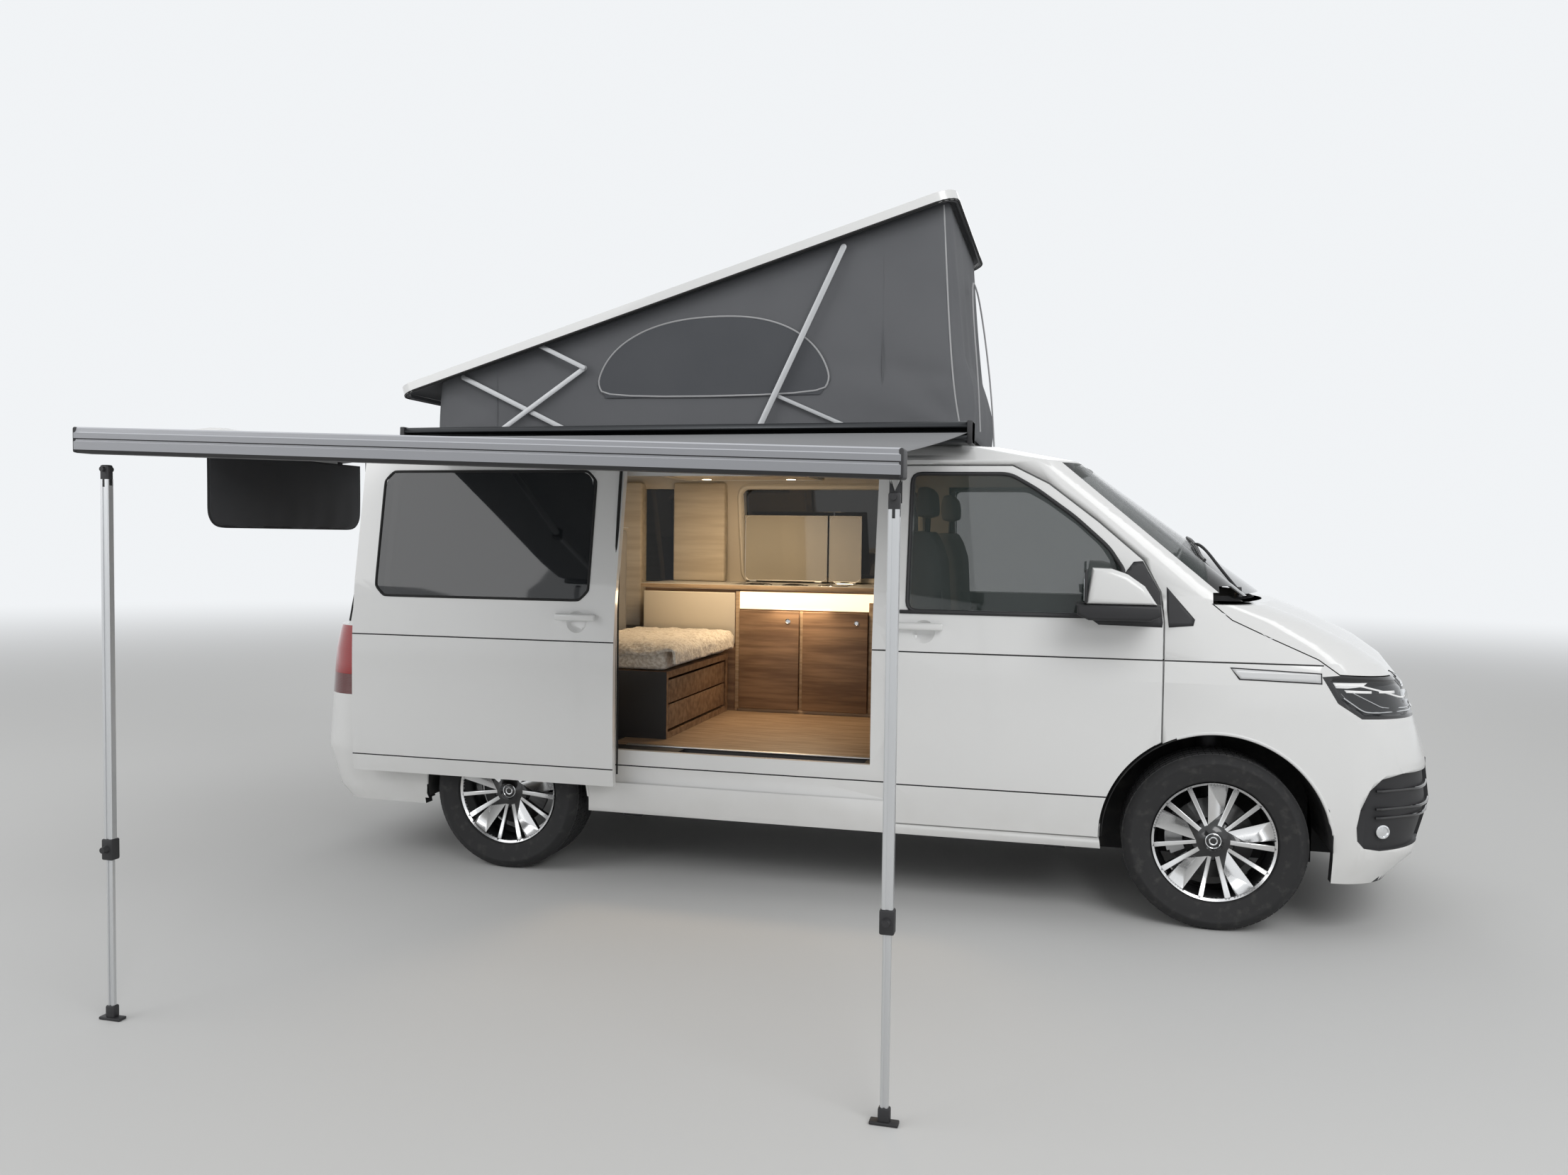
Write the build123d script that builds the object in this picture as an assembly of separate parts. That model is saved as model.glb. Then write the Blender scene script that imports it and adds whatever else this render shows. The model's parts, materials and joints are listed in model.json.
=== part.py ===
from build123d import *
from functools import lru_cache
import math
import os

# Camper van, raised roof and awning out. Millimetres, +X forward, +Y left, +Z up.
# All sizes below are from the middle of the wheelbase, on the ground. The finished
# part is moved so that its origin is the middle of its footprint.
ORIGIN_X = -598.0
ORIGIN_Y = -823.0

WHEELBASE = 3000.0
TRACK = 1628.0
TYRE_RADIUS = 345.0
TYRE_WIDTH = 235.0
RIM_RADIUS = 226.0
WHEEL_Z = TYRE_RADIUS
FRONT_AXLE_X = WHEELBASE / 2
REAR_AXLE_X = -WHEELBASE / 2
WHEEL_Y = TRACK / 2
KINGPIN_Y = 690.0
FRONT_ARCH_RADIUS = 428.0
REAR_ARCH_RADIUS = 400.0

WALL = 55.0
GLASS = 6.0
OUTER_LAYER = 28.0
SHUT_GAP = 7.0
FLOOR_Z = 567.0
FLOOR_THICK = 67.0
SILL_Z = 290.0
CREASE_Z = 1050.0
COWL_Z = 1290.0

# Outline of the closed body at each height: z, front centre x, front corner (x, y),
# start of the side (x, y), widest y, end of the side (x, y), rear corner y, rear x.
BODY_RINGS = [
    (215, 2257, 2150, 620, 1925, 890, 905, -2200, 880, 740, -2330),
    (312, 2369, 2265, 640, 1940, 915, 925, -2230, 905, 770, -2440),
    (500, 2408, 2310, 660, 1960, 925, 948, -2260, 930, 790, -2490),
    (683, 2380, 2290, 660, 1960, 925, 952, -2270, 930, 790, -2470),
    (860, 2325, 2240, 650, 1950, 922, 952, -2265, 928, 790, -2455),
    (960, 2290, 2195, 640, 1930, 918, 952, -2258, 925, 790, -2445),
    (CREASE_Z, 2225, 2110, 620, 1880, 905, 950, -2248, 918, 780, -2425),
    (1120, 2130, 2000, 620, 1800, 895, 944, -2235, 912, 770, -2400),
    (1210, 1950, 1810, 620, 1650, 885, 936, -2220, 903, 760, -2365),
    (COWL_Z, 1750, 1610, 620, 1440, 880, 928, -2205, 895, 750, -2340),
    (1830, 1010, 945, 560, 790, 800, 838, -2110, 790, 640, -2215),
    (1890, 740, 660, 540, 480, 750, 790, -2090, 745, 600, -2200),
    (1930, 380, 300, 480, 150, 690, 715, -2070, 690, 560, -2185),
    (1942, 300, 230, 420, 60, 640, 665, -2050, 640, 520, -2165),
]

# Front door, seen from the side: sill corner, arch edge, A-pillar line, roof edge.
DOOR_LINE = [(242, 330), (1070, 330), (1300, 700), (1300, 1190), (1285, 1310), (1219, 1435),
             (1045, 1585), (848, 1737), (700, 1812), (242, 1812)]
DOOR_WINDOW = [(300, 1216), (1010, 1216), (1142, 1385), (1080, 1480), (948, 1598), (799, 1706),
               (690, 1768), (300, 1768)]
DOOR_HINGE_X = 1300.0
DOOR_HINGE_Y = 943.0
DOOR_OPEN = 65.0

SLIDE_DOOR = (-1030.0, 235.0, 425.0, 1850.0)
SIDE_OPENING = (-985.0, 150.0, 567.0, 1765.0)
SLIDE_BACK = 1180.0
SLIDE_OUT = 82.0

TAILGATE_HINGE_X = -2192.0
TAILGATE_HINGE_Z = 1948.0
TAILGATE_OPEN = 79.0
TAILGATE_BOTTOM = 560.0
LAMP_TOP = 1075.0
# The line on the side of the body where the closed tailgate ends.
TAILGATE_LINE = [(-2130, 1900), (-2174, 1758), (-2296, 1267), (-2316, LAMP_TOP)]
TAILGATE_LOW_Y = 745.0
REAR_OPENING_Y = 660.0

BONNET_LINE = [(1470, 1268), (1545, 1205), (1696, 1135), (1854, 1065), (1930, 1010), (2180, 1000),
               (2260, 962), (2500, 962), (2500, 1268)]
BONNET_HINGE = (1478.0, 1280.0)
COWL_BACK = 12.0

# Raised roof: underside line from rear to front, its closed height and its pole.
ROOF_REAR = (-2205.0, 2150.0)
ROOF_FRONT = (440.0, 2944.0)
ROOF_HALF_WIDTH = 672.0
ROOF_CLOSED_REAR = (-2168.0, 1950.0)
ROOF_SKIN = 26.0
ROOF_SKIRT = 46.0
LINK_CHANNEL = (603.0, 648.0)
RAIL_Y = (690.0, 765.0)
RAIL_Z = (1900.0, 1984.0)
RAIL_X = (-2120.0, 487.0)
BELLOWS_X = (-2045.0, 497.0)
BELLOWS_Y = 600.0
BELLOWS_Z = 1946.0

AWNING_X = (-2060.0, 540.0)
LEAD_RAIL_X = (-1955.0, 549.0)
LEAD_RAIL_Y = (-2794.5, -2722.0)
LEAD_RAIL_Z = (1768.0, 1690.0)
LEG_X = (-1866.0, 523.0)
LEG_Y = (-2775.0, -2740.0)
LEG_STEP_Z = 530.0
LEG_PIVOT_DROP = 85.0
LEG_TUBE = (30.0, 24.0)

# Gas struts: y, foot on the body, eye on the closed tailgate, and the slots they lie in.
STRUT_Y = 728.0
STRUT_FOOT = (-2325.0, 1160.0)
STRUT_EYE_CLOSED = (-2150.0, 1800.0)
STRUT_SLOT_GATE = [(-2351, 1110), (-2164, 1824), (-1900, 1824), (-1900, 1110)]
STRUT_SLOT_BODY = [(-2400, 1110), (-2316, 1110), (-2129, 1824), (-2400, 1824)]

SIDES = {"right": -1, "left": 1}


def box(x, y, z):
    """Block between two values on each axis."""
    middle = [(pair[0] + pair[1]) / 2 for pair in (x, y, z)]
    size = [abs(pair[1] - pair[0]) for pair in (x, y, z)]
    return Pos(*middle) * Box(*size)


def prism_y(points, y):
    """Prism of an outline in X and Z, from y[0] to y[1]."""
    line = Polyline(*[(px, y[0], pz) for px, pz in points], close=True)
    return extrude(make_face(line), amount=y[1] - y[0], dir=(0, 1, 0))


def prism_x(points, x):
    """Prism of an outline in Y and Z, from x[0] to x[1]."""
    line = Polyline(*[(x[0], py, pz) for py, pz in points], close=True)
    return extrude(make_face(line), amount=x[1] - x[0], dir=(1, 0, 0))


def prism_z(points, z):
    """Prism of an outline in X and Y, from z[0] to z[1]."""
    line = Polyline(*[(px, py, z[0]) for px, py in points], close=True)
    return extrude(make_face(line), amount=z[1] - z[0], dir=(0, 0, 1))


def rod(start, end, radius):
    """Round bar between two points."""
    along = Vector(*end) - Vector(*start)
    base = Plane(origin=start, z_dir=along)
    return extrude(base * Circle(radius), amount=along.length, dir=along.normalized())


def side_span(side, inner, outer):
    """Range of y between two distances from the middle, on one side."""
    return tuple(sorted((side * inner, side * outer)))


def grown(points, amount):
    """Outline moved outwards, or inwards where amount is negative."""
    spots = [Vector(px, pz, 0) for px, pz in points]
    face = make_face(Polyline(*spots, close=True))
    wire = offset(face, amount=amount, kind=Kind.INTERSECTION).faces()[0].outer_wire()
    return [(v.X, v.Y) for v in ordered(wire)]


def ordered(wire):
    """Corners of a closed wire, in order."""
    return [edge.position_at(0) for edge in wire.order_edges()]


def corner(side_end, front_end):
    """Middle of the arc that leaves the side straight and meets the front."""
    dx = abs(front_end[0] - side_end[0])
    dy = abs(side_end[1]) - abs(front_end[1])
    radius = (dx * dx + dy * dy) / (2 * dy)
    half = math.asin(min(1.0, dx / radius)) / 2
    along = math.copysign(radius * math.sin(half), front_end[0] - side_end[0])
    inwards = math.copysign(radius * (1 - math.cos(half)), -side_end[1])
    return (side_end[0] + along, side_end[1] + inwards)


def ring(row, inset=0.0, drop=0.0):
    """Closed outline of the body at one height, as a face."""
    z, front_x, bend_x, bend_y, side_x, side_y, wide_y, end_x, end_y, rear_y, rear_x = row
    front = (front_x - inset, 0)
    bend = (bend_x - inset, bend_y - 0.5 * inset)
    start = (side_x - 0.4 * inset, side_y - inset)
    widest = ((side_x + end_x) / 2, wide_y - inset)
    end = (end_x + 0.4 * inset, end_y - inset)
    rear = (rear_x + inset, rear_y - 0.5 * inset)

    def spot(point, side):
        return (point[0], side * point[1], z - drop)

    edges = [ThreePointArc(spot(bend, -1), spot(front, 1), spot(bend, 1))]
    for side, first, last in ((1, "front", "rear"), (-1, "rear", "front")):
        arcs = [
            ThreePointArc(spot(bend, side), spot(corner(start, bend), side), spot(start, side)),
            ThreePointArc(spot(start, side), spot(widest, side), spot(end, side)),
            ThreePointArc(spot(end, side), spot(corner(end, rear), side), spot(rear, side)),
        ]
        edges += arcs if side > 0 else list(reversed(arcs))
        if side > 0:
            edges.append(Line(spot(rear, 1), spot(rear, -1)))
    return make_face(Wire(edges))


def form(inset=0.0, bottom=0.0):
    """Closed body form, inset from the outer skin; its roof drops by the inset."""
    rows = [row for row in BODY_RINGS if row[0] >= bottom]
    faces = []
    for row in rows:
        drop = inset * 0.8 if row[0] >= 1830 else 0.0
        faces.append(ring(row, inset, drop))
    return Solid(loft(faces, ruled=True).wrapped)


FORM_OUTER = form()
FORM_LAYER = form(OUTER_LAYER)
FORM_INNER = form(WALL)
SKIN = FORM_OUTER - FORM_INNER
LAYER = FORM_OUTER - FORM_LAYER
GLAZING = FORM_OUTER - form(GLASS)
FAR = 3000.0


def arch(axle_x, radius, inner_y=480.0):
    """Round wheel space on both sides, outwards from a distance from the middle."""
    length = 1500.0 - inner_y
    drum = Rot(90, 0, 0) * Cylinder(radius, length)
    middle = inner_y + length / 2
    return Pos(axle_x, middle, WHEEL_Z) * drum + Pos(axle_x, -middle, WHEEL_Z) * drum


def whole(shape, smallest=2e5):
    """Shape without the slivers that cutting leaves behind."""
    return Compound(children=[solid for solid in shape.solids() if solid.volume > smallest])


def half(shape, side):
    """The part of a shape on one side of the middle plane."""
    return shape & box((-FAR, FAR), side_span(side, 5, FAR), (0, FAR))


def rect(x0, x1, z0, z1):
    return [(x0, z0), (x1, z0), (x1, z1), (x0, z1)]


FRONT_LINE = 1925.0
BUMPER_TOP = 815.0
NOSE_TOP = 955.0
GRILLE_HALF = 545.0
ROOF_JOINT = 1850.0
WINDSCREEN_LINE = [(1515, 1296), (2300, 1296), (2300, 1822), (893, 1822)]
FIXED_WINDOWS = {"middle": (-905.0, 95.0, 1235.0, 1775.0), "rear": (-2090.0, -1085.0, 1235.0, 1775.0)}
SLIDE_WINDOW = (-915.0, 105.0, 1225.0, 1775.0)
REAR_BUMPER_X = -1915.0
REAR_BUMPER_TOP = 515.0


def door_cut(outline, side):
    """Space for a door: outer layer to its full outline, inner part smaller."""
    reach = side_span(side, 300, FAR)
    outer = LAYER & prism_y(outline, reach)
    return outer + prism_y(grown(outline, -24), reach)


def door_leaf(outline, window, side):
    """Door shell with a stepped edge and its window open, in its closed place."""
    reach = side_span(side, 300, FAR)
    outer = LAYER & prism_y(grown(outline, -SHUT_GAP), reach)
    inner = (FORM_LAYER - FORM_INNER) & prism_y(grown(outline, -24 - SHUT_GAP), reach)
    leaf = outer + inner
    return leaf - prism_y(window, reach)


def window_pane(window, side):
    return GLAZING & prism_y(window, side_span(side, 300, FAR))


FRONT_DOOR = door_cut(DOOR_LINE, 1) + door_cut(DOOR_LINE, -1)
TAILGATE_SPACE = prism_y([(-2700, 1925), (-2124, 1925)] + TAILGATE_LINE + [(-2700, LAMP_TOP)], (-FAR, FAR)) \
    + box((-2700, -2200), (-TAILGATE_LOW_Y, TAILGATE_LOW_Y), (TAILGATE_BOTTOM, LAMP_TOP + 5)) \
    + box((-2700, -2150), (-REAR_OPENING_Y, REAR_OPENING_Y), (LAMP_TOP, 1850))
LAMP_SPACE = prism_y([(-2255, LAMP_TOP - 5), (-2700, LAMP_TOP - 5), (-2700, 752), (-2272, 752)], (-FAR, FAR)) \
    - box((-2700, -2200), (-TAILGATE_LOW_Y, TAILGATE_LOW_Y), (0, FAR))
BONNET_SPACE = prism_y(BONNET_LINE, (-FAR, FAR))
NOSE_SPACE = box((FRONT_LINE, 2600), (-FAR, FAR), (200, BUMPER_TOP))
LAMP_LINE = [(1868, 1003), (1925, 905), (2010, 850), (2400, 850), (2400, 962), (2260, 962), (2180, 1000), (1930, 1010)]
HEADLAMP_SPACE = prism_y(LAMP_LINE, (-FAR, FAR)) - box((1800, 2600), (-GRILLE_HALF, GRILLE_HALF), (0, FAR))
GRILLE_SPACE = box((1925, 2600), (-GRILLE_HALF, GRILLE_HALF), (BUMPER_TOP, NOSE_TOP + 7))
REAR_BUMPER_SPACE = box((-2700, REAR_BUMPER_X), (-FAR, FAR), (200, REAR_BUMPER_TOP))
WINDSCREEN_SPACE = prism_y(WINDSCREEN_LINE, (-FAR, FAR))
# Room at the foot of each windscreen pillar, where the bonnet's rear corners swing up.
BONNET_SWING = box((1476, 1700), (-FAR, FAR), (1250, 1310))
WING_LINE = [(1293, SILL_Z), (2700, SILL_Z), (2700, 1210), (1545, 1210), (1470, 1268), (1293, 1268)]
WING_SPACE = prism_y(WING_LINE, (-FAR, FAR))


JACK_X = (-900.0, 900.0)


def jack_pads(side):
    """Flat pads under the sill, where a lift or a jack takes the van's weight."""
    front = box((JACK_X[1] - 40, JACK_X[1] + 40), side_span(side, 868, 906), (278, 296))
    rear = box((JACK_X[0] - 40, JACK_X[0] + 40), side_span(side, 868, 906), (278, 296))
    return front + rear


def side_panel(name):
    """Side of the body: pillars, sill, rear quarter and the rail over the doors."""
    side = SIDES[name]
    panel = half(SKIN, side) & box((-2600, 1560), (-FAR, FAR), (SILL_Z, ROOF_JOINT))
    panel = panel - TAILGATE_SPACE - LAMP_SPACE - REAR_BUMPER_SPACE - FRONT_DOOR - WING_SPACE
    panel = panel - BONNET_SPACE - BONNET_SWING - WINDSCREEN_SPACE - arch(REAR_AXLE_X, REAR_ARCH_RADIUS)
    panel = panel - arch(FRONT_AXLE_X, FRONT_ARCH_RADIUS)
    reach = side_span(side, 300, FAR)
    panel -= prism_y(rect(*FIXED_WINDOWS["rear"]), reach)
    if side > 0:
        panel -= prism_y(rect(*FIXED_WINDOWS["middle"]), reach)
    else:
        panel -= LAYER & prism_y(rect(*SLIDE_DOOR), reach)
        panel -= prism_y(rect(*SIDE_OPENING), reach)
        panel += slide_rail()
    panel -= prism_y(STRUT_SLOT_BODY, side_span(side, STRUT_Y - 18, STRUT_Y + 18))
    x, z = STRUT_FOOT
    foot = box((x - 8, x + 38), side_span(side, STRUT_Y + 16, 822), (z - 12, z + 12))
    pin = rod((x, side * (STRUT_Y + 8), z), (x, side * 760, z), 5)
    return whole(panel + foot + pin + jack_pads(side))


def wing(name):
    """Front wing with its round arch."""
    side = SIDES[name]
    panel = half(SKIN, side) & WING_SPACE & box((1200, 2300), (-FAR, FAR), (0, FAR))
    panel = panel - FRONT_DOOR - BONNET_SPACE - NOSE_SPACE - HEADLAMP_SPACE - GRILLE_SPACE
    return whole(panel - arch(FRONT_AXLE_X, FRONT_ARCH_RADIUS), 1e6)


def wings():
    return Compound(children=list(wing("left").solids()) + list(wing("right").solids()))


def roof_panel():
    """Roof skin with the hatch to the upper bed."""
    panel = SKIN & box((-2600, 1100), (-FAR, FAR), (ROOF_JOINT, 2000))
    panel = panel - TAILGATE_SPACE - WINDSCREEN_SPACE
    panel -= box((-1750, 330), (-560, 560), (1800, 2000))
    return whole(panel + roof_brackets())


# Towing eye thread: mouth and inner end, y and z, radius of the thread and of its boss.
TOW_X = (2356.0, 2290.0)
TOW_Y = -431.0
TOW_Z = 507.0
TOW_RADIUS = 9.0
TOW_BOSS = 22.0


def tow_rod(x0, x1, radius):
    return rod((x0, TOW_Y, TOW_Z), (x1, TOW_Y, TOW_Z), radius)


def bumpers():
    front = SKIN & NOSE_SPACE & box((FRONT_LINE, 2600), (-FAR, FAR), (215, BUMPER_TOP))
    front = front + tow_rod(TOW_X[1], TOW_X[0], TOW_BOSS) - tow_rod(TOW_X[0], 2500, TOW_BOSS)
    front -= tow_rod(TOW_X[1] - 5, TOW_X[0] + 5, TOW_RADIUS)
    rear = SKIN & REAR_BUMPER_SPACE & box((-2700, REAR_BUMPER_X), (-FAR, FAR), (262, REAR_BUMPER_TOP))
    return Compound(children=list(front.solids()) + list(rear.solids()))


def grille():
    return SKIN & GRILLE_SPACE


def lamps():
    """Head lamps and tail lamps in their corners."""
    front = SKIN & HEADLAMP_SPACE & box((1800, 2600), (-FAR, FAR), (800, 1020))
    rear = SKIN & LAMP_SPACE
    return Compound(children=list(front.solids()) + list(rear.solids()))


def body_glass():
    """Windscreen, fixed side windows and the pane of the open sliding door."""
    screen = GLAZING & WINDSCREEN_SPACE
    for side in (-1, 1):
        screen -= box((1500, 1625), side_span(side, 775, 900), (1280, 1334))
    panes = [screen, slid(window_pane(rect(*SLIDE_WINDOW), -1))]
    for side in (-1, 1):
        panes.append(window_pane(rect(*FIXED_WINDOWS["rear"]), side))
    panes.append(window_pane(rect(*FIXED_WINDOWS["middle"]), 1))
    return Compound(children=[solid for pane in panes for solid in pane.solids()])


def bonnet():
    shut = prism_y(grown(BONNET_LINE, -4), (-FAR, FAR))
    return SKIN & shut


def tailgate_closed():
    shut = prism_y([(-2700, 1918), (-2131, 1918), (-2137, 1900), (-2181, 1758), (-2303, 1267),
                    (-2323, LAMP_TOP + 6), (-2700, LAMP_TOP + 6)], (-FAR, FAR))
    low = box((-2700, -2250), (-TAILGATE_LOW_Y + 7, TAILGATE_LOW_Y - 7), (TAILGATE_BOTTOM + 6, LAMP_TOP + 10))
    gate = (SKIN & (shut + low)) - box((-2700, -2000), (-690, 690), (1240, 1800))
    x, z = STRUT_FOOT
    for side in (-1, 1):
        gate -= prism_y(STRUT_SLOT_GATE, side_span(side, STRUT_Y - 18, STRUT_Y + 18))
        gate -= box((x - 16, x + 60), side_span(side, STRUT_Y - 20, 829), (z - 22, z + 22))
        x_eye, z_eye = STRUT_EYE_CLOSED
        gate += rod((x_eye, side * (STRUT_Y + 13), z_eye), (x_eye, side * (STRUT_Y + 24), z_eye), 6)
    return whole(gate)


def opened(shape):
    """Tailgate or what rides on it, turned from closed to open."""
    return shape.rotate(Axis((TAILGATE_HINGE_X, 0, TAILGATE_HINGE_Z), (0, 1, 0)), TAILGATE_OPEN)


def tailgate():
    return opened(tailgate_closed())


def tailgate_glass():
    return opened(GLAZING & box((-2700, -2000), (-690, 690), (1240, 1800)))


def floor_pan():
    """Flat floor with wheel boxes, sills and two long rails below."""
    base = FORM_INNER & box((-2440, 1440), (-FAR, FAR), (FLOOR_Z - FLOOR_THICK, FLOOR_Z))
    rails = box((-2300, 1400), (390, 450), (420, 501)) + box((-2300, 1400), (-450, -390), (420, 501))
    base += rails
    for side in (-1, 1):
        y = side_span(side, 632, 890)
        shell = Pos(REAR_AXLE_X, (y[0] + y[1]) / 2, WHEEL_Z) * Rot(90, 0, 0) * Cylinder(414, y[1] - y[0])
        base += shell & box((-2000, -1000), (-FAR, FAR), (FLOOR_Z - FLOOR_THICK, 800)) & FORM_INNER
    for side in (-1, 1):
        y = side_span(side, 644, 960)
        base -= Pos(REAR_AXLE_X, (y[0] + y[1]) / 2, WHEEL_Z) * Rot(90, 0, 0) * Cylinder(400, y[1] - y[0])
    base -= box((-700, 120), (-960, -800), (300, 700))
    base += box((-700, 120), (-870, -790), (412, 432)) + box((-700, 120), (-810, -790), (412, 560))
    return whole(base - arch(FRONT_AXLE_X, 432))


def front_structure():
    """Firewall, cowl shelf, wheel housings' inner walls and the two front rails."""
    wall = (FORM_INNER & box((1445, 1470), (-FAR, FAR), (500, 1280))) - arch(FRONT_AXLE_X, 440)
    for side in (-1, 1):
        wall += box((1465, 2215), side_span(side, 400, 462), (455, 560))
    wall += box((2190, 2215), (-530, 530), (330, 800))
    shelf = (Pos(-COWL_BACK, 0, 0) * FORM_INNER) & box((1440, 1760), (-722, 722), (1272, COWL_Z + 2))
    return whole(wall + (shelf - WINDSCREEN_SPACE) - FRONT_DOOR)


def front_door(name):
    """Front door with its mirror."""
    side = SIDES[name]
    leaf = door_leaf(DOOR_LINE, DOOR_WINDOW, side)
    return whole(leaf - arch(FRONT_AXLE_X, FRONT_ARCH_RADIUS + SHUT_GAP) + mirror(side))


def front_door_glass(name):
    return window_pane(DOOR_WINDOW, SIDES[name])


def mirror(side):
    head = box((1000, 1210), side_span(side, 968, 1148.5), (1225, 1405))
    head = fillet(head.edges(), 30)
    arm = box((1090, 1180), side_span(side, 900, 980), (1222, 1262)) - FORM_OUTER
    return head + arm


def slid(shape):
    return Pos(-SLIDE_BACK, -SLIDE_OUT, 0) * shape


@lru_cache(maxsize=None)
def sliding_door():
    reach = side_span(-1, 300, FAR)
    leaf = LAYER & prism_y(rect(*SLIDE_DOOR), reach)
    leaf += SKIN & prism_y(rect(-960, 128, 445, 1745), reach)
    return slid(leaf - prism_y(rect(*SLIDE_WINDOW), reach))


def slide_rail():
    """Rail on the right flank with the arm that carries the open door."""
    rail = box((-2160, -960), (-968, -940), (1120, 1150)) - FORM_OUTER
    rail += box((-1140, -1080), (-990, -960), (1125, 1145))
    low = box((-1140, -1080), (-990, -930), (470, 500)) - FORM_OUTER
    return rail + low - sliding_door()


def roof_rails():
    rails = box(RAIL_X, RAIL_Y, RAIL_Z) + box(RAIL_X, (-RAIL_Y[1], -RAIL_Y[0]), RAIL_Z)
    return rails - FORM_OUTER


def roof_angle():
    return math.degrees(math.atan2(ROOF_FRONT[1] - ROOF_REAR[1], ROOF_FRONT[0] - ROOF_REAR[0]))


def roof_length():
    return math.hypot(ROOF_FRONT[1] - ROOF_REAR[1], ROOF_FRONT[0] - ROOF_REAR[0])


def roof_pole():
    """Point about which the open roof turns to its closed place."""
    turn = -math.radians(roof_angle())
    c, s = math.cos(turn), math.sin(turn)
    x, z = ROOF_REAR
    bx = ROOF_CLOSED_REAR[0] - (c * x - s * z)
    bz = ROOF_CLOSED_REAR[1] - (s * x + c * z)
    det = (1 - c) ** 2 + s * s
    return (((1 - c) * bx - s * bz) / det, (s * bx + (1 - c) * bz) / det)


def on_roof(along, above):
    """Point of the raised roof, along it from its rear edge and above its lower edge."""
    turn = math.radians(roof_angle())
    x = ROOF_REAR[0] + along * math.cos(turn) - above * math.sin(turn)
    return (x, ROOF_REAR[1] + along * math.sin(turn) + above * math.cos(turn))


def raised(shape):
    """Shape drawn with the roof's rear lower edge at the origin, put on the open roof."""
    return Pos(ROOF_REAR[0], 0, ROOF_REAR[1]) * Rot(0, -roof_angle(), 0) * shape


def poptop_roof():
    w = ROOF_HALF_WIDTH
    outer = fillet(box((0, roof_length()), (-w, w), (0, ROOF_SKIRT)).edges().filter_by(Axis.Z), 90)
    inner = box((18, roof_length() - 18), (18 - w, w - 18), (-1, ROOF_SKIRT - ROOF_SKIN))
    shell = outer - fillet(inner.edges().filter_by(Axis.Z), 75)
    for side in (-1, 1):
        shell -= box((90, roof_length() - 90), side_span(side, LINK_CHANNEL[0], LINK_CHANNEL[1]), (-1, 38))
    return raised(shell)


def poptop_bellows():
    under = ROOF_SKIRT - ROOF_SKIN - 0.5
    back = on_roof(190, under)
    front = on_roof(roof_length() - 40, under)
    outline = [(BELLOWS_X[0], 1900), (505, 1880), (528, 2050), front, back]
    inner = grown(outline, -12)
    hollow = prism_y(inner, (12 - BELLOWS_Y, BELLOWS_Y - 12))
    hollow += box((BELLOWS_X[0] + 12, 490), (12 - BELLOWS_Y, BELLOWS_Y - 12), (1850, 2000))
    return prism_y(outline, (-BELLOWS_Y, BELLOWS_Y)) - hollow - FORM_OUTER


PIVOT_Z = 1958.0
PIVOT_ON_ROOF = -2.0
SHORT_ARM_ON_ROOF = (760.0, 8.0)
ARM_THICK = 7.0
# Links of the raised roof: body or roof they hang on, pivot, free end, y of the inner face, width.
LINK_PIVOTS = {
    "roof_rear_arms_long": ((-1292.0, PIVOT_Z), on_roof(329, PIVOT_ON_ROOF), 609.0, 22.0),
    "roof_rear_arms_cross": ((-1734.0, PIVOT_Z), (-1262.0, 2272.0), 622.0, 22.0),
    "roof_rear_arms_short": (on_roof(*SHORT_ARM_ON_ROOF), (-1262.0, 2272.0), 635.0, 20.0),
    "roof_front_arms": ((-437.0, PIVOT_Z), (-52.0, 2764.0), 630.0, 26.0),
    "roof_front_stays": ((50.0, PIVOT_Z), (-351.0, 2132.0), 612.0, 16.0),
}


def link(name):
    """Pair of flat links, one on each side of the raised roof."""
    start, end, inner_y, width = LINK_PIVOTS[name]
    along = Vector(end[0] - start[0], 0, end[1] - start[1])
    angle = math.degrees(math.atan2(along.Z, along.X))
    bar = SlotOverall(along.length + width, width)
    pair = []
    for side in (-1, 1):
        y = side_span(side, inner_y, inner_y + ARM_THICK)
        flat = extrude(Plane.XZ * bar, amount=-ARM_THICK)
        middle = ((start[0] + end[0]) / 2, y[0], (start[1] + end[1]) / 2)
        pair.append(Pos(*middle) * Rot(0, -angle, 0) * flat)
    return Compound(children=pair)


def roof_brackets():
    """Feet of the links on the body roof."""
    feet = None
    for x in (-1292, -1734, -437, 50):
        for side in (-1, 1):
            foot = box((x - 30, x + 30), side_span(side, 643.5, 649), (1930, PIVOT_Z + 8)) - FORM_OUTER
            foot += box((x - 9, x + 9), side_span(side, 606, 644), (1920, PIVOT_Z - 14)) - FORM_OUTER
            feet = foot if feet is None else feet + foot
    return feet


def tailgate_point(point):
    """Point of the closed tailgate, turned to its open place."""
    turn = math.radians(TAILGATE_OPEN)
    dx, dz = point[0] - TAILGATE_HINGE_X, point[1] - TAILGATE_HINGE_Z
    return (TAILGATE_HINGE_X + dx * math.cos(turn) + dz * math.sin(turn),
            TAILGATE_HINGE_Z - dx * math.sin(turn) + dz * math.cos(turn))


def strut_part(low, high, radius, side):
    """Round length of one strut, measured from its eye on the tailgate."""
    eye = tailgate_point(STRUT_EYE_CLOSED)
    top = Vector(eye[0], side * STRUT_Y, eye[1])
    along = (Vector(STRUT_FOOT[0], side * STRUT_Y, STRUT_FOOT[1]) - top).normalized()
    return rod(tuple(top + along * low), tuple(top + along * high), radius)


def strut_length():
    eye = tailgate_point(STRUT_EYE_CLOSED)
    return math.hypot(eye[0] - STRUT_FOOT[0], eye[1] - STRUT_FOOT[1])


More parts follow.
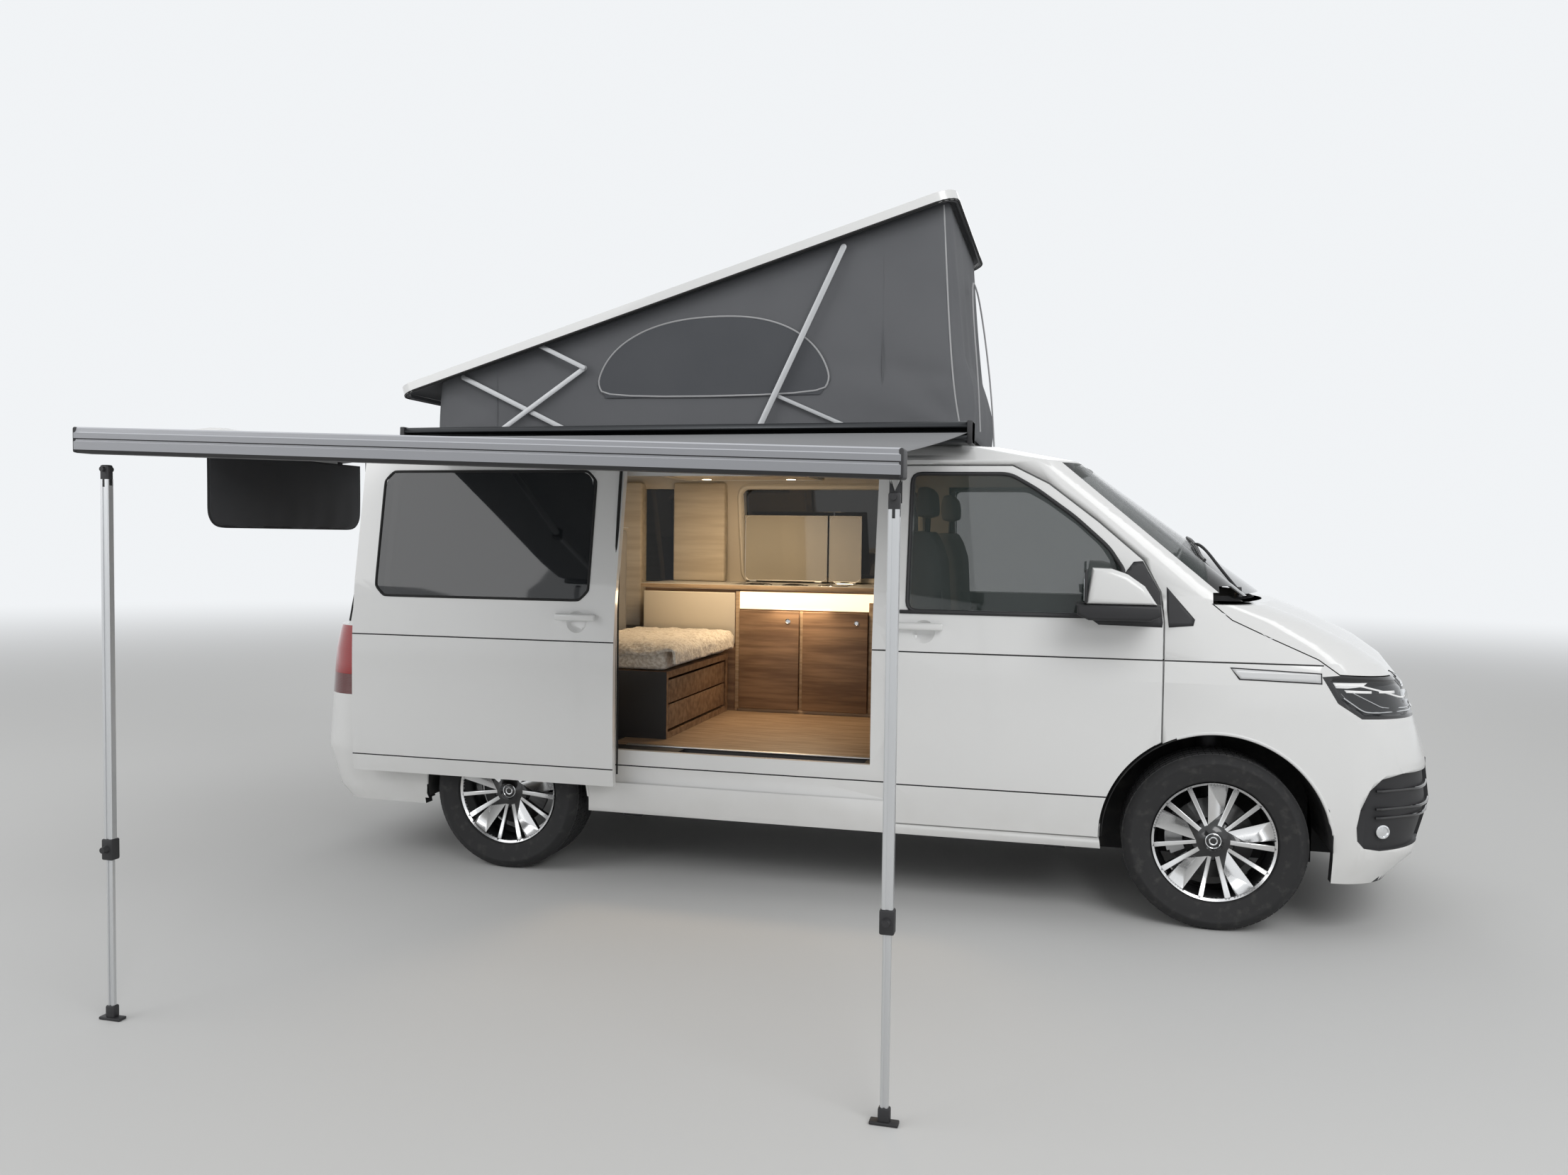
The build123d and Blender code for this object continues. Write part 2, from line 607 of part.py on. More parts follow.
def tailgate_struts_tube():
    """Tubes hanging from the tailgate, bored for their rods."""
    tubes = [strut_part(-8, 400, 11, side) - strut_part(325, 401, 6.5, side) for side in (-1, 1)]
    return Compound(children=tubes)


def tailgate_struts_rod():
    return Compound(children=[strut_part(394, strut_length() + 6, 5, side) for side in (-1, 1)])


BAG_HINGE = (-3300.0, 1915.0)
BAG_DROP = 395.0


def bag_flap():
    """Emptied chair bag, hanging from the open tailgate."""
    panel = box((BAG_HINGE[0] - 6, BAG_HINGE[0] + 6), (-640, 640), (BAG_HINGE[1] - BAG_DROP, BAG_HINGE[1] - 12))
    return fillet(panel.edges().filter_by(Axis.X).group_by(Axis.Z)[0], 90)


def awning_case():
    body = box(AWNING_X, (-880, -RAIL_Y[1]), (1893, 1984))
    body = fillet(body.edges().filter_by(Axis.X).group_by(Axis.Y)[0], 25)
    return body - box((AWNING_X[0] + 15, AWNING_X[1] - 15), (-900, -800), (1925, 1962)) - FORM_OUTER


def lead_rail_z(x):
    share = (x - LEAD_RAIL_X[0]) / (LEAD_RAIL_X[1] - LEAD_RAIL_X[0])
    return LEAD_RAIL_Z[0] + share * (LEAD_RAIL_Z[1] - LEAD_RAIL_Z[0])


def leg_pivot(index):
    """Place of a leg's pivot: x, y, z."""
    return (LEG_X[index], LEG_Y[index], lead_rail_z(LEG_X[index]) - LEG_PIVOT_DROP)


def leg_cheeks(index):
    """Two ears under the lead rail, with the pin that a leg turns on."""
    x, y, z = leg_pivot(index)
    half = LEG_TUBE[1] / 2
    cheeks = rod((x, y - half - 3, z), (x, y + half + 3, z), 4)
    for side in (-1, 1):
        inner, outer = y + side * (half + 1), y + side * (half + 5)
        cheeks += box((x - 14, x + 14), (inner, outer), (z - 14, z + LEG_PIVOT_DROP - 38))
    return cheeks


def awning_frame():
    """Case on the roof side, two arms under the fabric and the lead rail, joined."""
    return awning_case() + awning_arms() + awning_lead_rail() + leg_cheeks(0) + leg_cheeks(1)


def awning_lead_rail():
    z0, z1 = LEAD_RAIL_Z
    line = [(LEAD_RAIL_X[0], z0 - 40), (LEAD_RAIL_X[1], z1 - 40), (LEAD_RAIL_X[1], z1 + 38), (LEAD_RAIL_X[0], z0 + 38)]
    return prism_y(line, LEAD_RAIL_Y)


def awning_canopy():
    """Taut fabric from the case down to the lead rail."""
    ends = []
    for x, z in ((LEAD_RAIL_X[0], LEAD_RAIL_Z[0]), (518.0, lead_rail_z(518.0))):
        inner, outer = (-801.0, 1946.0), (LEAD_RAIL_Y[1], z + 26)
        spots = [(x, inner[0], inner[1] - 3), (x, outer[0], outer[1] - 3), (x, outer[0], outer[1] + 3), (x, inner[0], inner[1] + 3)]
        ends.append(make_face(Polyline(*spots, close=True)))
    return Solid(loft(ends, ruled=True).wrapped)


ARM_X = (-1560.0, 60.0)


def awning_arms():
    """Two sprung arms under the fabric, each with its elbow."""
    arms = None
    for x, lean in zip(ARM_X, (-1, 1)):
        start = Vector(x, -845, 1898)
        elbow = Vector(x + lean * 55, -1800, 1795)
        tip_x = x + lean * 20
        end = Vector(tip_x, LEAD_RAIL_Y[1], lead_rail_z(tip_x) - 20)
        arm = rod(tuple(start), tuple(elbow), 17) + rod(tuple(elbow), tuple(end), 15)
        arm += Pos(*elbow) * Cylinder(26, 44)
        arms = arm if arms is None else arms + arm
    return arms - box((-FAR, FAR), (-880, -700), (1893, 2000)) - box((-FAR, FAR), LEAD_RAIL_Y, (1500, 1900))


def awning_leg(index):
    """Awning leg: upper tube, thinner lower rod and foot."""
    x, y, top = leg_pivot(index)
    wide, deep = LEG_TUBE
    leg = box((x - wide / 2, x + wide / 2), (y - deep / 2, y + deep / 2), (LEG_STEP_Z, top))
    leg += rod((x, y - deep / 2, top), (x, y + deep / 2, top), wide / 2)
    leg -= rod((x, y - deep, top), (x, y + deep, top), 4.4)
    leg += box((x - wide / 2 + 4, x + wide / 2 - 4), (y - deep / 2 + 4, y + deep / 2 - 4), (8, LEG_STEP_Z))
    return leg + box((x - 38, x + 38), (y - 15, y + 15), (0, 10))


def kitchen_cabinet():
    """Cabinet along the left wall, open behind its two doors."""
    body = box((-1330, 20), (352, 862), (FLOOR_Z, 1222))
    body -= box((-790, -458), (351, 800), (600, 1100))
    body -= box((-443, -89), (351, 800), (600, 1100))
    body -= box((-390, -230), (420, 770), (1130, 1230))
    body -= box((-1340, -1072), (626, 900), (560, 768))
    return whole(body & FORM_INNER)


def kitchen_worktop():
    """Worktop with its sunk hob and its basin."""
    top = box((-1352, 30), (338, 885), (1222, 1246)) & FORM_INNER
    top -= box((-880, -440), (420, 770), (1236, 1260))
    top += box((-390, -230), (420, 770), (1130, 1223))
    return top - box((-380, -240), (430, 760), (1140, 1260))


LID_HINGE = (790.0, 1256.0)


def glass_lid(index):
    x = ((-893, -411), (-401, -216))[index]
    return box(x, (LID_HINGE[0] - 3, LID_HINGE[0] + 3), (LID_HINGE[1], LID_HINGE[1] + 372))


def cabinet_door(index):
    x = ((-790, -458), (-443, -89))[index]
    return box((x[0] + 3, x[1] - 3), (331, 346), (590, 1112))


def bench_base():
    frame = box((-1500, -850), (-624, 330), (FLOOR_Z, 880))
    frame -= box((-1460, -849), (-600, 290), (600, 850))
    return frame + box((-2290, -1500), (-625, 625), (850, 880)) + box((-1560, -1500), (-625, 625), (FLOOR_Z, 851))


def cushions():
    """Bench seat, backrest and the mattress behind it."""
    seat = fillet(box((-1380, -830), (-640, 330), (880, 1000)).edges(), 35)
    back = fillet(box((-1560, -1400), (-640, 330), (880, 1560)).edges(), 35)
    rear = fillet(box((-2290, -1580), (-640, 640), (880, 970)).edges(), 35)
    return Compound(children=[seat.solids()[0], back.solids()[0], rear.solids()[0]])


SEAT_X = (380.0, 900.0)
SEAT_Y = 470.0


def front_seats():
    """Two seats on turning bases."""
    pair = None
    for side in (-1, 1):
        y = side_span(side, SEAT_Y - 240, SEAT_Y + 240)
        seat = fillet(box(SEAT_X, y, (860, 990)).edges(), 40)
        back = fillet(box((260, 400), y, (900, 1560)).edges(), 40)
        head = fillet(box((270, 370), side_span(side, SEAT_Y - 130, SEAT_Y + 130), (1590, 1740)).edges(), 35)
        post = box((305, 335), side_span(side, SEAT_Y - 60, SEAT_Y + 60), (1500, 1650))
        plinth = box((430, 830), side_span(side, SEAT_Y - 200, SEAT_Y + 200), (FLOOR_Z, 865))
        seat = seat + back + head + post + plinth
        pair = seat if pair is None else pair + seat
    return pair


def dashboard():
    """Dashboard with the steering column."""
    line = [(1440, 900), (1250, 860), (1130, 960), (1110, 1130), (1180, 1215), (1440, 1262)]
    board = prism_y(line, (-830, 830)) & FORM_INNER
    turn = math.radians(COLUMN_TILT)
    start = (WHEEL_HUB[0] + 26 * math.cos(turn), SEAT_Y, WHEEL_HUB[1] - 26 * math.sin(turn))
    end = (WHEEL_HUB[0] + 160 * math.cos(turn), SEAT_Y, WHEEL_HUB[1] - 160 * math.sin(turn))
    return board + rod(start, end, 32)


WHEEL_HUB = (1010.0, 1130.0)
COLUMN_TILT = 28.0


def steering_wheel():
    rim = Torus(185, 15)
    hub = Cylinder(55, 40)
    spokes = Box(30, 350, 14) + Pos(-90, 0, 0) * Box(170, 30, 14)
    wheel = rim + hub + spokes
    return Pos(WHEEL_HUB[0], SEAT_Y, WHEEL_HUB[1]) * Rot(0, COLUMN_TILT - 90, 0) * wheel


def ceiling_boards():
    """Board of the upper bed and the lamp panel under it."""
    return box((-1750, -380), (-560, 560), (1864, 1890)) + box((-1150, -380), (-540, 540), (1815, 1865))


def engine_block():
    return box((1590, 2080), (-360, 370), (430, 850))


def tank_and_exhaust():
    """Fuel tank and exhaust under the floor."""
    tank = fillet(box((-900, 0), (-360, 360), (330, 500)).edges().filter_by(Axis.Y), 40)
    pipe = rod((-1150, 520, 470), (700, 520, 470), 26) + rod((-1150, 520, 470), (-1250, 520, 440), 26)
    return tank + (pipe & box((-1150, 700), (400, 700), (0, 700)))


def axle_front():
    """Subframe, lower arms and spring legs."""
    axle = box((1440, 1760), (-380, 380), (300, 420)) - box((1500, 1700), (-300, 300), (290, 430))
    for side in (-1, 1):
        arm = prism_z([(1440, side * 370), (1700, side * 370), (1545, side * (KINGPIN_Y + 25)), (1455, side * (KINGPIN_Y + 25))], (228, 258))
        axle += arm + box((1440, 1760), side_span(side, 340, 390), (228, 320))
        axle += rod((1500, side * 600, 250), (1500, side * 590, 776), 30)
        axle += rod((1500, side * 597, 500), (1500, side * 590, 770), 54)
    return axle


def axle_rear():
    """Cross tube, trailing arms, springs and wheel spindles."""
    axle = box((-1330, -1230), (-600, 600), (300, 400))
    for side in (-1, 1):
        axle += box((-1560, -1250), side_span(side, 540, 620), (285, 405))
        axle += rod((REAR_AXLE_X, side * 615, WHEEL_Z), (REAR_AXLE_X, side * 862, WHEEL_Z), 30)
        axle += rod((REAR_AXLE_X, side * 600, WHEEL_Z), (REAR_AXLE_X, side * 780, WHEEL_Z), 62)
        axle += rod((-1430, side * 545, 390), (-1430, side * 545, 500), 52)
    return axle


def knuckle(name):
    side = SIDES[name]
    post = box((1462, 1538), side_span(side, KINGPIN_Y - 35, KINGPIN_Y + 80), (268, 450))
    hub = rod((FRONT_AXLE_X, side * 700, WHEEL_Z), (FRONT_AXLE_X, side * 780, WHEEL_Z), 62)
    spindle = rod((FRONT_AXLE_X, side * 770, WHEEL_Z), (FRONT_AXLE_X, side * 862, WHEEL_Z), 30)
    arm = box((1360, 1470), side_span(side, KINGPIN_Y - 30, KINGPIN_Y + 10), (330, 360))
    return post + hub + spindle + arm


def revolved(profile):
    """Ring about the wheel's axle, from radius and offset along it."""
    line = Polyline(*[(radius, across) for radius, across in profile], close=True)
    return revolve(make_face(line), Axis.Y, 360)


TYRE_PROFILE = [(232, -95), (262, -112), (305, -117), (333, -104), (343, -84), (345, -40), (345, 40),
                (343, 84), (333, 104), (305, 117), (262, 112), (232, 95), (238, 88), (238, -88)]
BARREL_PROFILE = [(231, -100), (220, -96), (205, -60), (203, 20), (214, 60), (222, 92), (231, 99),
                  (231.5, 86), (226, 60), (214, 20), (216, -60), (231, -88)]
# Spokes of one fifth of the wheel: turn in degrees, width at the hub, width at the rim.
SPOKES = [(93.0, 46.0, 74.0), (111.0, 16.0, 22.0), (65.0, 14.0, 18.0)]


def tyre_at_origin():
    return revolved(TYRE_PROFILE)


def rim_at_origin():
    """Alloy wheel, outer face towards +Y, with its brake disc fused behind."""
    wheel = revolved(BARREL_PROFILE)
    wheel += revolved([(30.5, 20), (82, 20), (82, 62), (62, 72), (30.5, 72)])
    wheel += revolved([(60, -6), (158, -6), (158, 14), (84, 14), (84, 22), (60, 22)])
    wheel += Pos(0, 68, 0) * Rot(90, 0, 0) * Cylinder(32, 10)
    for turn in range(5):
        for angle, root, tip in SPOKES:
            line = Polyline((50, 48, -root / 2), (222, 66, -tip / 2), (222, 66, tip / 2), (50, 48, root / 2), close=True)
            bar = extrude(make_face(line), amount=22, dir=(0, 1, 0))
            wheel += Rot(0, -angle - 72 * turn, 0) * bar
    return wheel


TYRE = tyre_at_origin()
RIM = rim_at_origin()
WHEELS = {"front_left": (FRONT_AXLE_X, 1), "front_right": (FRONT_AXLE_X, -1),
          "rear_left": (REAR_AXLE_X, 1), "rear_right": (REAR_AXLE_X, -1)}


def wheel_piece(shape, corner_name):
    x, side = WHEELS[corner_name]
    turned = shape if side > 0 else Rot(0, 0, 180) * shape
    return Pos(x, side * WHEEL_Y, WHEEL_Z) * turned


NODES = {
    "floor_pan": floor_pan, "front_structure": front_structure, "roof_panel": roof_panel,
    "wings": wings, "bumpers": bumpers, "grille": grille, "lamps": lamps,
    "body_glass": body_glass, "bonnet": bonnet, "tailgate": tailgate,
    "tailgate_glass": tailgate_glass, "bag_flap": bag_flap, "sliding_door": sliding_door,
    "roof_rails": roof_rails, "poptop_roof": poptop_roof, "poptop_bellows": poptop_bellows,
    "tailgate_struts_tube": tailgate_struts_tube, "tailgate_struts_rod": tailgate_struts_rod,
    "awning_frame": awning_frame, "awning_canopy": awning_canopy,
    "kitchen_cabinet": kitchen_cabinet, "kitchen_worktop": kitchen_worktop,
    "bench_base": bench_base, "cushions": cushions, "front_seats": front_seats,
    "dashboard": dashboard, "steering_wheel": steering_wheel, "ceiling_boards": ceiling_boards,
    "engine_block": engine_block, "tank_and_exhaust": tank_and_exhaust,
    "axle_front": axle_front, "axle_rear": axle_rear,
}
for side_name in SIDES:
    NODES[f"side_panel_{side_name}"] = lambda name=side_name: side_panel(name)
    NODES[f"front_door_{side_name}"] = lambda name=side_name: front_door(name)
    NODES[f"front_door_glass_{side_name}"] = lambda name=side_name: front_door_glass(name)
    NODES[f"knuckle_{side_name}"] = lambda name=side_name: knuckle(name)
for link_name in LINK_PIVOTS:
    NODES[link_name] = lambda name=link_name: link(name)
for index, place in enumerate(("rear", "front")):
    NODES[f"awning_leg_{place}"] = lambda i=index: awning_leg(i)
    NODES[f"glass_lid_{place}"] = lambda i=index: glass_lid(i)
    NODES[f"cabinet_door_{place}"] = lambda i=index: cabinet_door(i)
for corner_name in WHEELS:
    NODES[f"tyre_{corner_name}"] = lambda name=corner_name: wheel_piece(TYRE, name)
    NODES[f"rim_{corner_name}"] = lambda name=corner_name: wheel_piece(RIM, name)


def main():
    os.makedirs("parts", exist_ok=True)
    for name, make in NODES.items():
        shape = Pos(-ORIGIN_X, -ORIGIN_Y, 0) * make()
        shape.label = name
        export_step(shape, f"parts/{name}.step")
        size = shape.bounding_box()
        print(name, len(shape.solids()), "solids", [round(v, 1) for v in (*size.min, *size.max)])


if __name__ == "__main__":
    main()
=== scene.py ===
# %% [markdown]
# # A camper van with its roof up and its awning out
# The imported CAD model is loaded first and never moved. Everything below is built around it,
# in metres, in the same frame: +X to the front of the van, +Y to its left, +Z up.

# %% Load the frame
import json
import math

import bmesh
import bpy
from mathutils import Matrix, Vector, noise
from mathutils.bvhtree import BVHTree


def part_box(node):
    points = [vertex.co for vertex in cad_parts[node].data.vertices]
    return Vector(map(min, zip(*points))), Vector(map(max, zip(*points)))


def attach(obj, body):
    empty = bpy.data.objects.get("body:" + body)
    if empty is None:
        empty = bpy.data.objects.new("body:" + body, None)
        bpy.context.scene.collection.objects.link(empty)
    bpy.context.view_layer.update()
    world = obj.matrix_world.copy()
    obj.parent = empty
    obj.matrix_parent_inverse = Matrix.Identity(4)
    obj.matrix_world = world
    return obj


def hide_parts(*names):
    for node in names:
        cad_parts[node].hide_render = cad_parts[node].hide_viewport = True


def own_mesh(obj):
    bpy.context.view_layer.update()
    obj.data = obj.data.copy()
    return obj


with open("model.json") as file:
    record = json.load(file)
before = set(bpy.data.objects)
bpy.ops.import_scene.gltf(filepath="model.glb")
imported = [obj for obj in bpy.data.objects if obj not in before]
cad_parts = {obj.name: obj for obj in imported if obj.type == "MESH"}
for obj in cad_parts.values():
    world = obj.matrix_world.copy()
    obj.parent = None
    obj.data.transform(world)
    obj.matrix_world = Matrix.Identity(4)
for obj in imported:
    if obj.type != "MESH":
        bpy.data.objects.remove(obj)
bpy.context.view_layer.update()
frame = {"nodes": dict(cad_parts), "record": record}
NODES = frame["nodes"]

# %% [markdown]
# A van is measured from the middle of its wheelbase. The four tyres give that point, so every
# place below can be written as a distance forward, to the left, and up from the ground.

# %% The middle of the wheelbase
TYRE_BOXES = [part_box(f"tyre_{end}_{side}") for end in ("front", "rear") for side in ("left", "right")]
MIDDLE = sum((low + high for low, high in TYRE_BOXES), Vector()) / 8
MIDDLE.z = 0.0
TYRE_RADIUS = (TYRE_BOXES[0][1].z - TYRE_BOXES[0][0].z) / 2
SIDES = {"right": -1, "left": 1}


def at(x, y, z):
    """Point of the frame from distances forward, left and up."""
    return MIDDLE + Vector((x, y, z))


def added(name, data):
    """Object in the scene that shows some data."""
    made = bpy.data.objects.new(name, data)
    bpy.context.scene.collection.objects.link(made)
    return made


def mesh_data(name, mesh):
    """Mesh data made from a bmesh, which is used up."""
    data = bpy.data.meshes.new(name)
    mesh.to_mesh(data)
    mesh.free()
    return data


print("middle of the wheelbase", [round(value, 3) for value in MIDDLE])

# %% [markdown]
# The camera stands where the photographer stood: beside the van, a little ahead of its middle,
# at a standing eye's height. Its lens was found from the wheels, whose size is known.

# %% Camera
SENSOR_WIDTH = 36.0
PICTURE_WIDTH = 2212
FOCAL_PIXELS = 1663
EYE = at(0.986, -5.701, 1.5)
TURN_LEFT = math.radians(14.23)
LOOK_DOWN = math.radians(2.4)
ROLL = 0.013

camera_data = bpy.data.cameras.new("camera")
camera_data.sensor_width = SENSOR_WIDTH
camera_data.lens = SENSOR_WIDTH * FOCAL_PIXELS / PICTURE_WIDTH
camera_data.clip_start = 0.05
camera = added("camera", camera_data)
ahead = Vector((-math.sin(TURN_LEFT) * math.cos(LOOK_DOWN),
                math.cos(TURN_LEFT) * math.cos(LOOK_DOWN), -math.sin(LOOK_DOWN)))
level = Vector((math.cos(TURN_LEFT), math.sin(TURN_LEFT), 0.0))
across = level * math.cos(ROLL) + level.cross(ahead) * math.sin(ROLL)
axes = Matrix((across, across.cross(ahead), -ahead)).transposed()
camera.matrix_world = Matrix.Translation(EYE) @ axes.to_4x4()
bpy.context.scene.camera = camera
bpy.context.scene.view_settings.view_transform = "Standard"
print("lens", round(camera_data.lens, 2), "mm")

# %% [markdown]
# Shader maths reads best as plain sums. A Signal wraps one output socket and turns the usual
# operators into Math nodes; a Finish is a material that hands out its nodes one at a time.


# %% Shader sockets as values
FINISHES = {}


class Signal:
    """One output socket, with the operators that its shader maths needs."""

    def __init__(self, finish, socket):
        self.finish = finish
        self.socket = socket

    def maths(self, operation, *others):
        inputs = dict(enumerate((self, *others)))
        return self.finish.node("ShaderNodeMath", {"operation": operation}, inputs)

    def __add__(self, other):
        return self.maths("ADD", other)

    def __sub__(self, other):
        return self.maths("SUBTRACT", other)

    def __rsub__(self, other):
        return self.finish.node("ShaderNodeMath", {"operation": "SUBTRACT"}, {0: other, 1: self})

    def __mul__(self, other):
        return self.maths("MULTIPLY", other)

    def step(self, low, high):
        """0 below low, 1 above high, smooth between."""
        settings = {"interpolation_type": "SMOOTHSTEP"}
        return self.finish.node("ShaderNodeMapRange", settings, {0: self, 1: low, 2: high})


class Finish:
    """A material whose nodes are added one at a time, kept under its name."""

    def __init__(self, name, color, roughness=0.5, metallic=0.0, coat=0.0, alpha=1.0):
        self.material = FINISHES[name] = bpy.data.materials.new(name)
        self.material.use_nodes = True
        self.tree = self.material.node_tree
        self.shader = self.tree.nodes["Principled BSDF"]
        self.set("Base Color", (*color, 1.0))
        self.set("Roughness", roughness)
        self.set("Metallic", metallic)
        self.set("Coat Weight", coat)
        self.set("Alpha", alpha)

    def set(self, name, value):
        self.join(self.shader.inputs[name], value)

    def join(self, socket, value):
        """Link a signal to an input, or set the input to a plain value."""
        if isinstance(value, Signal):
            self.tree.links.new(value.socket, socket)
        else:
            socket.default_value = value

    def node(self, kind, settings=None, inputs=None, output=0):
        made = self.tree.nodes.new(kind)
        for name, value in (settings or {}).items():
            setattr(made, name, value)
        for name, value in (inputs or {}).items():
            self.join(made.inputs[name], value)
        return Signal(self, made.outputs[output])

    def place(self, stretch=(1.0, 1.0, 1.0)):
        """Object coordinates, stretched."""
        here = self.node("ShaderNodeTexCoord", output=3)
        return self.node("ShaderNodeMapping", {}, {"Vector": here, "Scale": stretch})

    def along(self, axis):
        """One coordinate of the piece, in metres: 0 is X, 1 is Y, 2 is Z."""
        return self.node("ShaderNodeSeparateXYZ", {}, {0: self.place()}, output=axis)

    def noise(self, scale, detail=3.0, stretch=(1.0, 1.0, 1.0)):
        inputs = {"Vector": self.place(stretch), "Scale": scale, "Detail": detail}
        return self.node("ShaderNodeTexNoise", {}, inputs)

    def wave(self, scale, direction, stretch=(1.0, 1.0, 1.0)):
        settings = {"bands_direction": direction, "wave_type": "BANDS"}
        return self.node("ShaderNodeTexWave", settings, {"Vector": self.place(stretch), "Scale": scale}, output=1)

    def mix(self, factor, first, second):
        """Colour between two colours."""
        inputs = {0: factor, 6: (*first, 1.0), 7: (*second, 1.0)}
        return self.node("ShaderNodeMix", {"data_type": "RGBA"}, inputs, output=2)

    def bump(self, height, depth):
        """Fine relief: depth is the height's real size in metres."""
        self.set("Normal", self.node("ShaderNodeBump", {}, {"Strength": 1.0, "Distance": depth, "Height": height}))


# %% [markdown]
# The floor is a plain pale sheet under soft light from a bright sky and two large lamps. White
# paint only looks white beside something brighter, so the backdrop is bright for the camera and
# for reflections, while the light that falls on the van stays at a plain level.

# %% Floor, sky and lamps
FLOOR_REACH = 60.0
SKY_LIGHT = 0.5
SKY_SEEN = (0.88, 0.9, 0.92, 1.0)
FADE_FROM, FADE_TO = 6.0, 24.0
WARM = (1.0, 0.74, 0.46)


def looked_at(tree):
    """Socket that is 1 for a ray from the camera, off a glossy surface or through glass."""
    rays = tree.nodes.new("ShaderNodeLightPath")
    seen = rays.outputs["Is Camera Ray"]
    for other in ("Is Glossy Ray", "Is Transmission Ray"):
        either = tree.nodes.new("ShaderNodeMath")
        either.operation = "MAXIMUM"
        tree.links.new(seen, either.inputs[0])
        tree.links.new(rays.outputs[other], either.inputs[1])
        seen = either.outputs[0]
    return seen


floor_mesh = bmesh.new()
bmesh.ops.create_grid(floor_mesh, x_segments=1, y_segments=1, size=FLOOR_REACH)
floor = added("floor", mesh_data("floor", floor_mesh))
floor.location = (MIDDLE.x, MIDDLE.y, -0.0005)
ground = Finish("pale_floor", (0.68, 0.685, 0.68), roughness=0.9)
ground.set("Roughness", ground.noise(4.0, 3.0) * 0.1 + 0.85)
away = ground.node("ShaderNodeVectorMath", {"operation": "LENGTH"}, {0: ground.place()}, output=1)
fading = away.step(FADE_FROM, FADE_TO) * Signal(ground, looked_at(ground.tree))
haze = ground.node("ShaderNodeEmission", {}, {"Color": SKY_SEEN, "Strength": 1.0})
faded = ground.node("ShaderNodeMixShader", {}, {0: fading, 1: Signal(ground, ground.shader.outputs[0]), 2: haze})
ground.join(ground.tree.nodes["Material Output"].inputs["Surface"], faded)
floor.data.materials.append(ground.material)

world = bpy.data.worlds.new("sky")
bpy.context.scene.world = world
world.use_nodes = True
sky = world.node_tree
lighting, backdrop = sky.nodes["Background"], sky.nodes.new("ShaderNodeBackground")
for light, color, strength in ((lighting, (1.0, 1.0, 1.0, 1.0), SKY_LIGHT), (backdrop, SKY_SEEN, 1.0)):
    light.inputs["Color"].default_value = color
    light.inputs["Strength"].default_value = strength
sky_mix = sky.nodes.new("ShaderNodeMixShader")
for index, socket in enumerate((looked_at(sky), lighting.outputs[0], backdrop.outputs[0])):
    sky.links.new(socket, sky_mix.inputs[index])
sky.links.new(sky_mix.outputs[0], sky.nodes["World Output"].inputs["Surface"])


def lamp(name, place, target, size, power, color=(1.0, 1.0, 1.0)):
    """Large soft lamp that looks at a point."""
    data = bpy.data.lights.new(name, "AREA")
    data.size = size
    data.color = color
    data.energy = power
    made = added(name, data)
    made.location = place
    made.rotation_mode = "QUATERNION"
    made.rotation_quaternion = (target - place).to_track_quat("-Z", "Y")


lamp("key", at(4.5, -7.0, 6.5), at(0.0, 0.0, 1.0), 5.0, 300.0)
lamp("fill", at(-6.5, -6.0, 5.0), at(-0.5, 0.0, 1.0), 6.0, 160.0)
lamp("back", at(-1.0, 8.0, 6.0), at(0.0, 0.0, 1.2), 6.0, 160.0)
lamp("cabin", at(-0.7, 0.0, 1.795), at(-0.72, 0.12, 0.6), 0.5, 11.0, WARM)
lamp("kitchen", at(-0.45, 0.325, 1.14), at(-0.45, 0.1, 0.7), 0.3, 2.2, WARM)
print("lit by the sky at", SKY_LIGHT, "and five lamps")

# %% [markdown]
# ## Finishes
# Each finish below is one real surface: paint, grained plastic, tent cloth, timber and so on.
# Relief is given in real depths, so that weave and grain stay fine at any distance.

# %% Plain finishes
# Each row is a name, a colour, roughness, metallic and coat, then the scale, detail and depth
# in metres of the noise that gives it its grain.
GRAINED = (("dark_rail", (0.045, 0.048, 0.052), 0.38, 0.5, 0.0, 900.0, 2.0, 0.00008),
           ("rim_grey", (0.10, 0.103, 0.108), 0.6, 0.0, 0.0, 600.0, 2.0, 0.0001),
           ("alloy_black", (0.012, 0.012, 0.013), 0.22, 0.0, 0.8, 500.0, 2.0, 0.00004),
           ("door_seal", (0.012, 0.012, 0.012), 0.8, 0.0, 0.0, 400.0, 2.0, 0.0001),
           ("light_lining", (0.60, 0.55, 0.47), 0.75, 0.0, 0.0, 500.0, 3.0, 0.0002),
           ("plate_white", (0.72, 0.73, 0.74), 0.28, 0.0, 0.5, 320.0, 2.0, 0.00005),
           ("cream_panel", (0.66, 0.62, 0.54), 0.6, 0.0, 0.0, 300.0, 3.0, 0.0002),
           ("bag_edge", (0.02, 0.02, 0.022), 0.85, 0.0, 0.0, 900.0, 2.0, 0.0002))
for name, color, roughness, metallic, coat, scale, detail, depth in GRAINED:
    made = Finish(name, color, roughness, metallic, coat)
    made.bump(made.noise(scale, detail), depth)

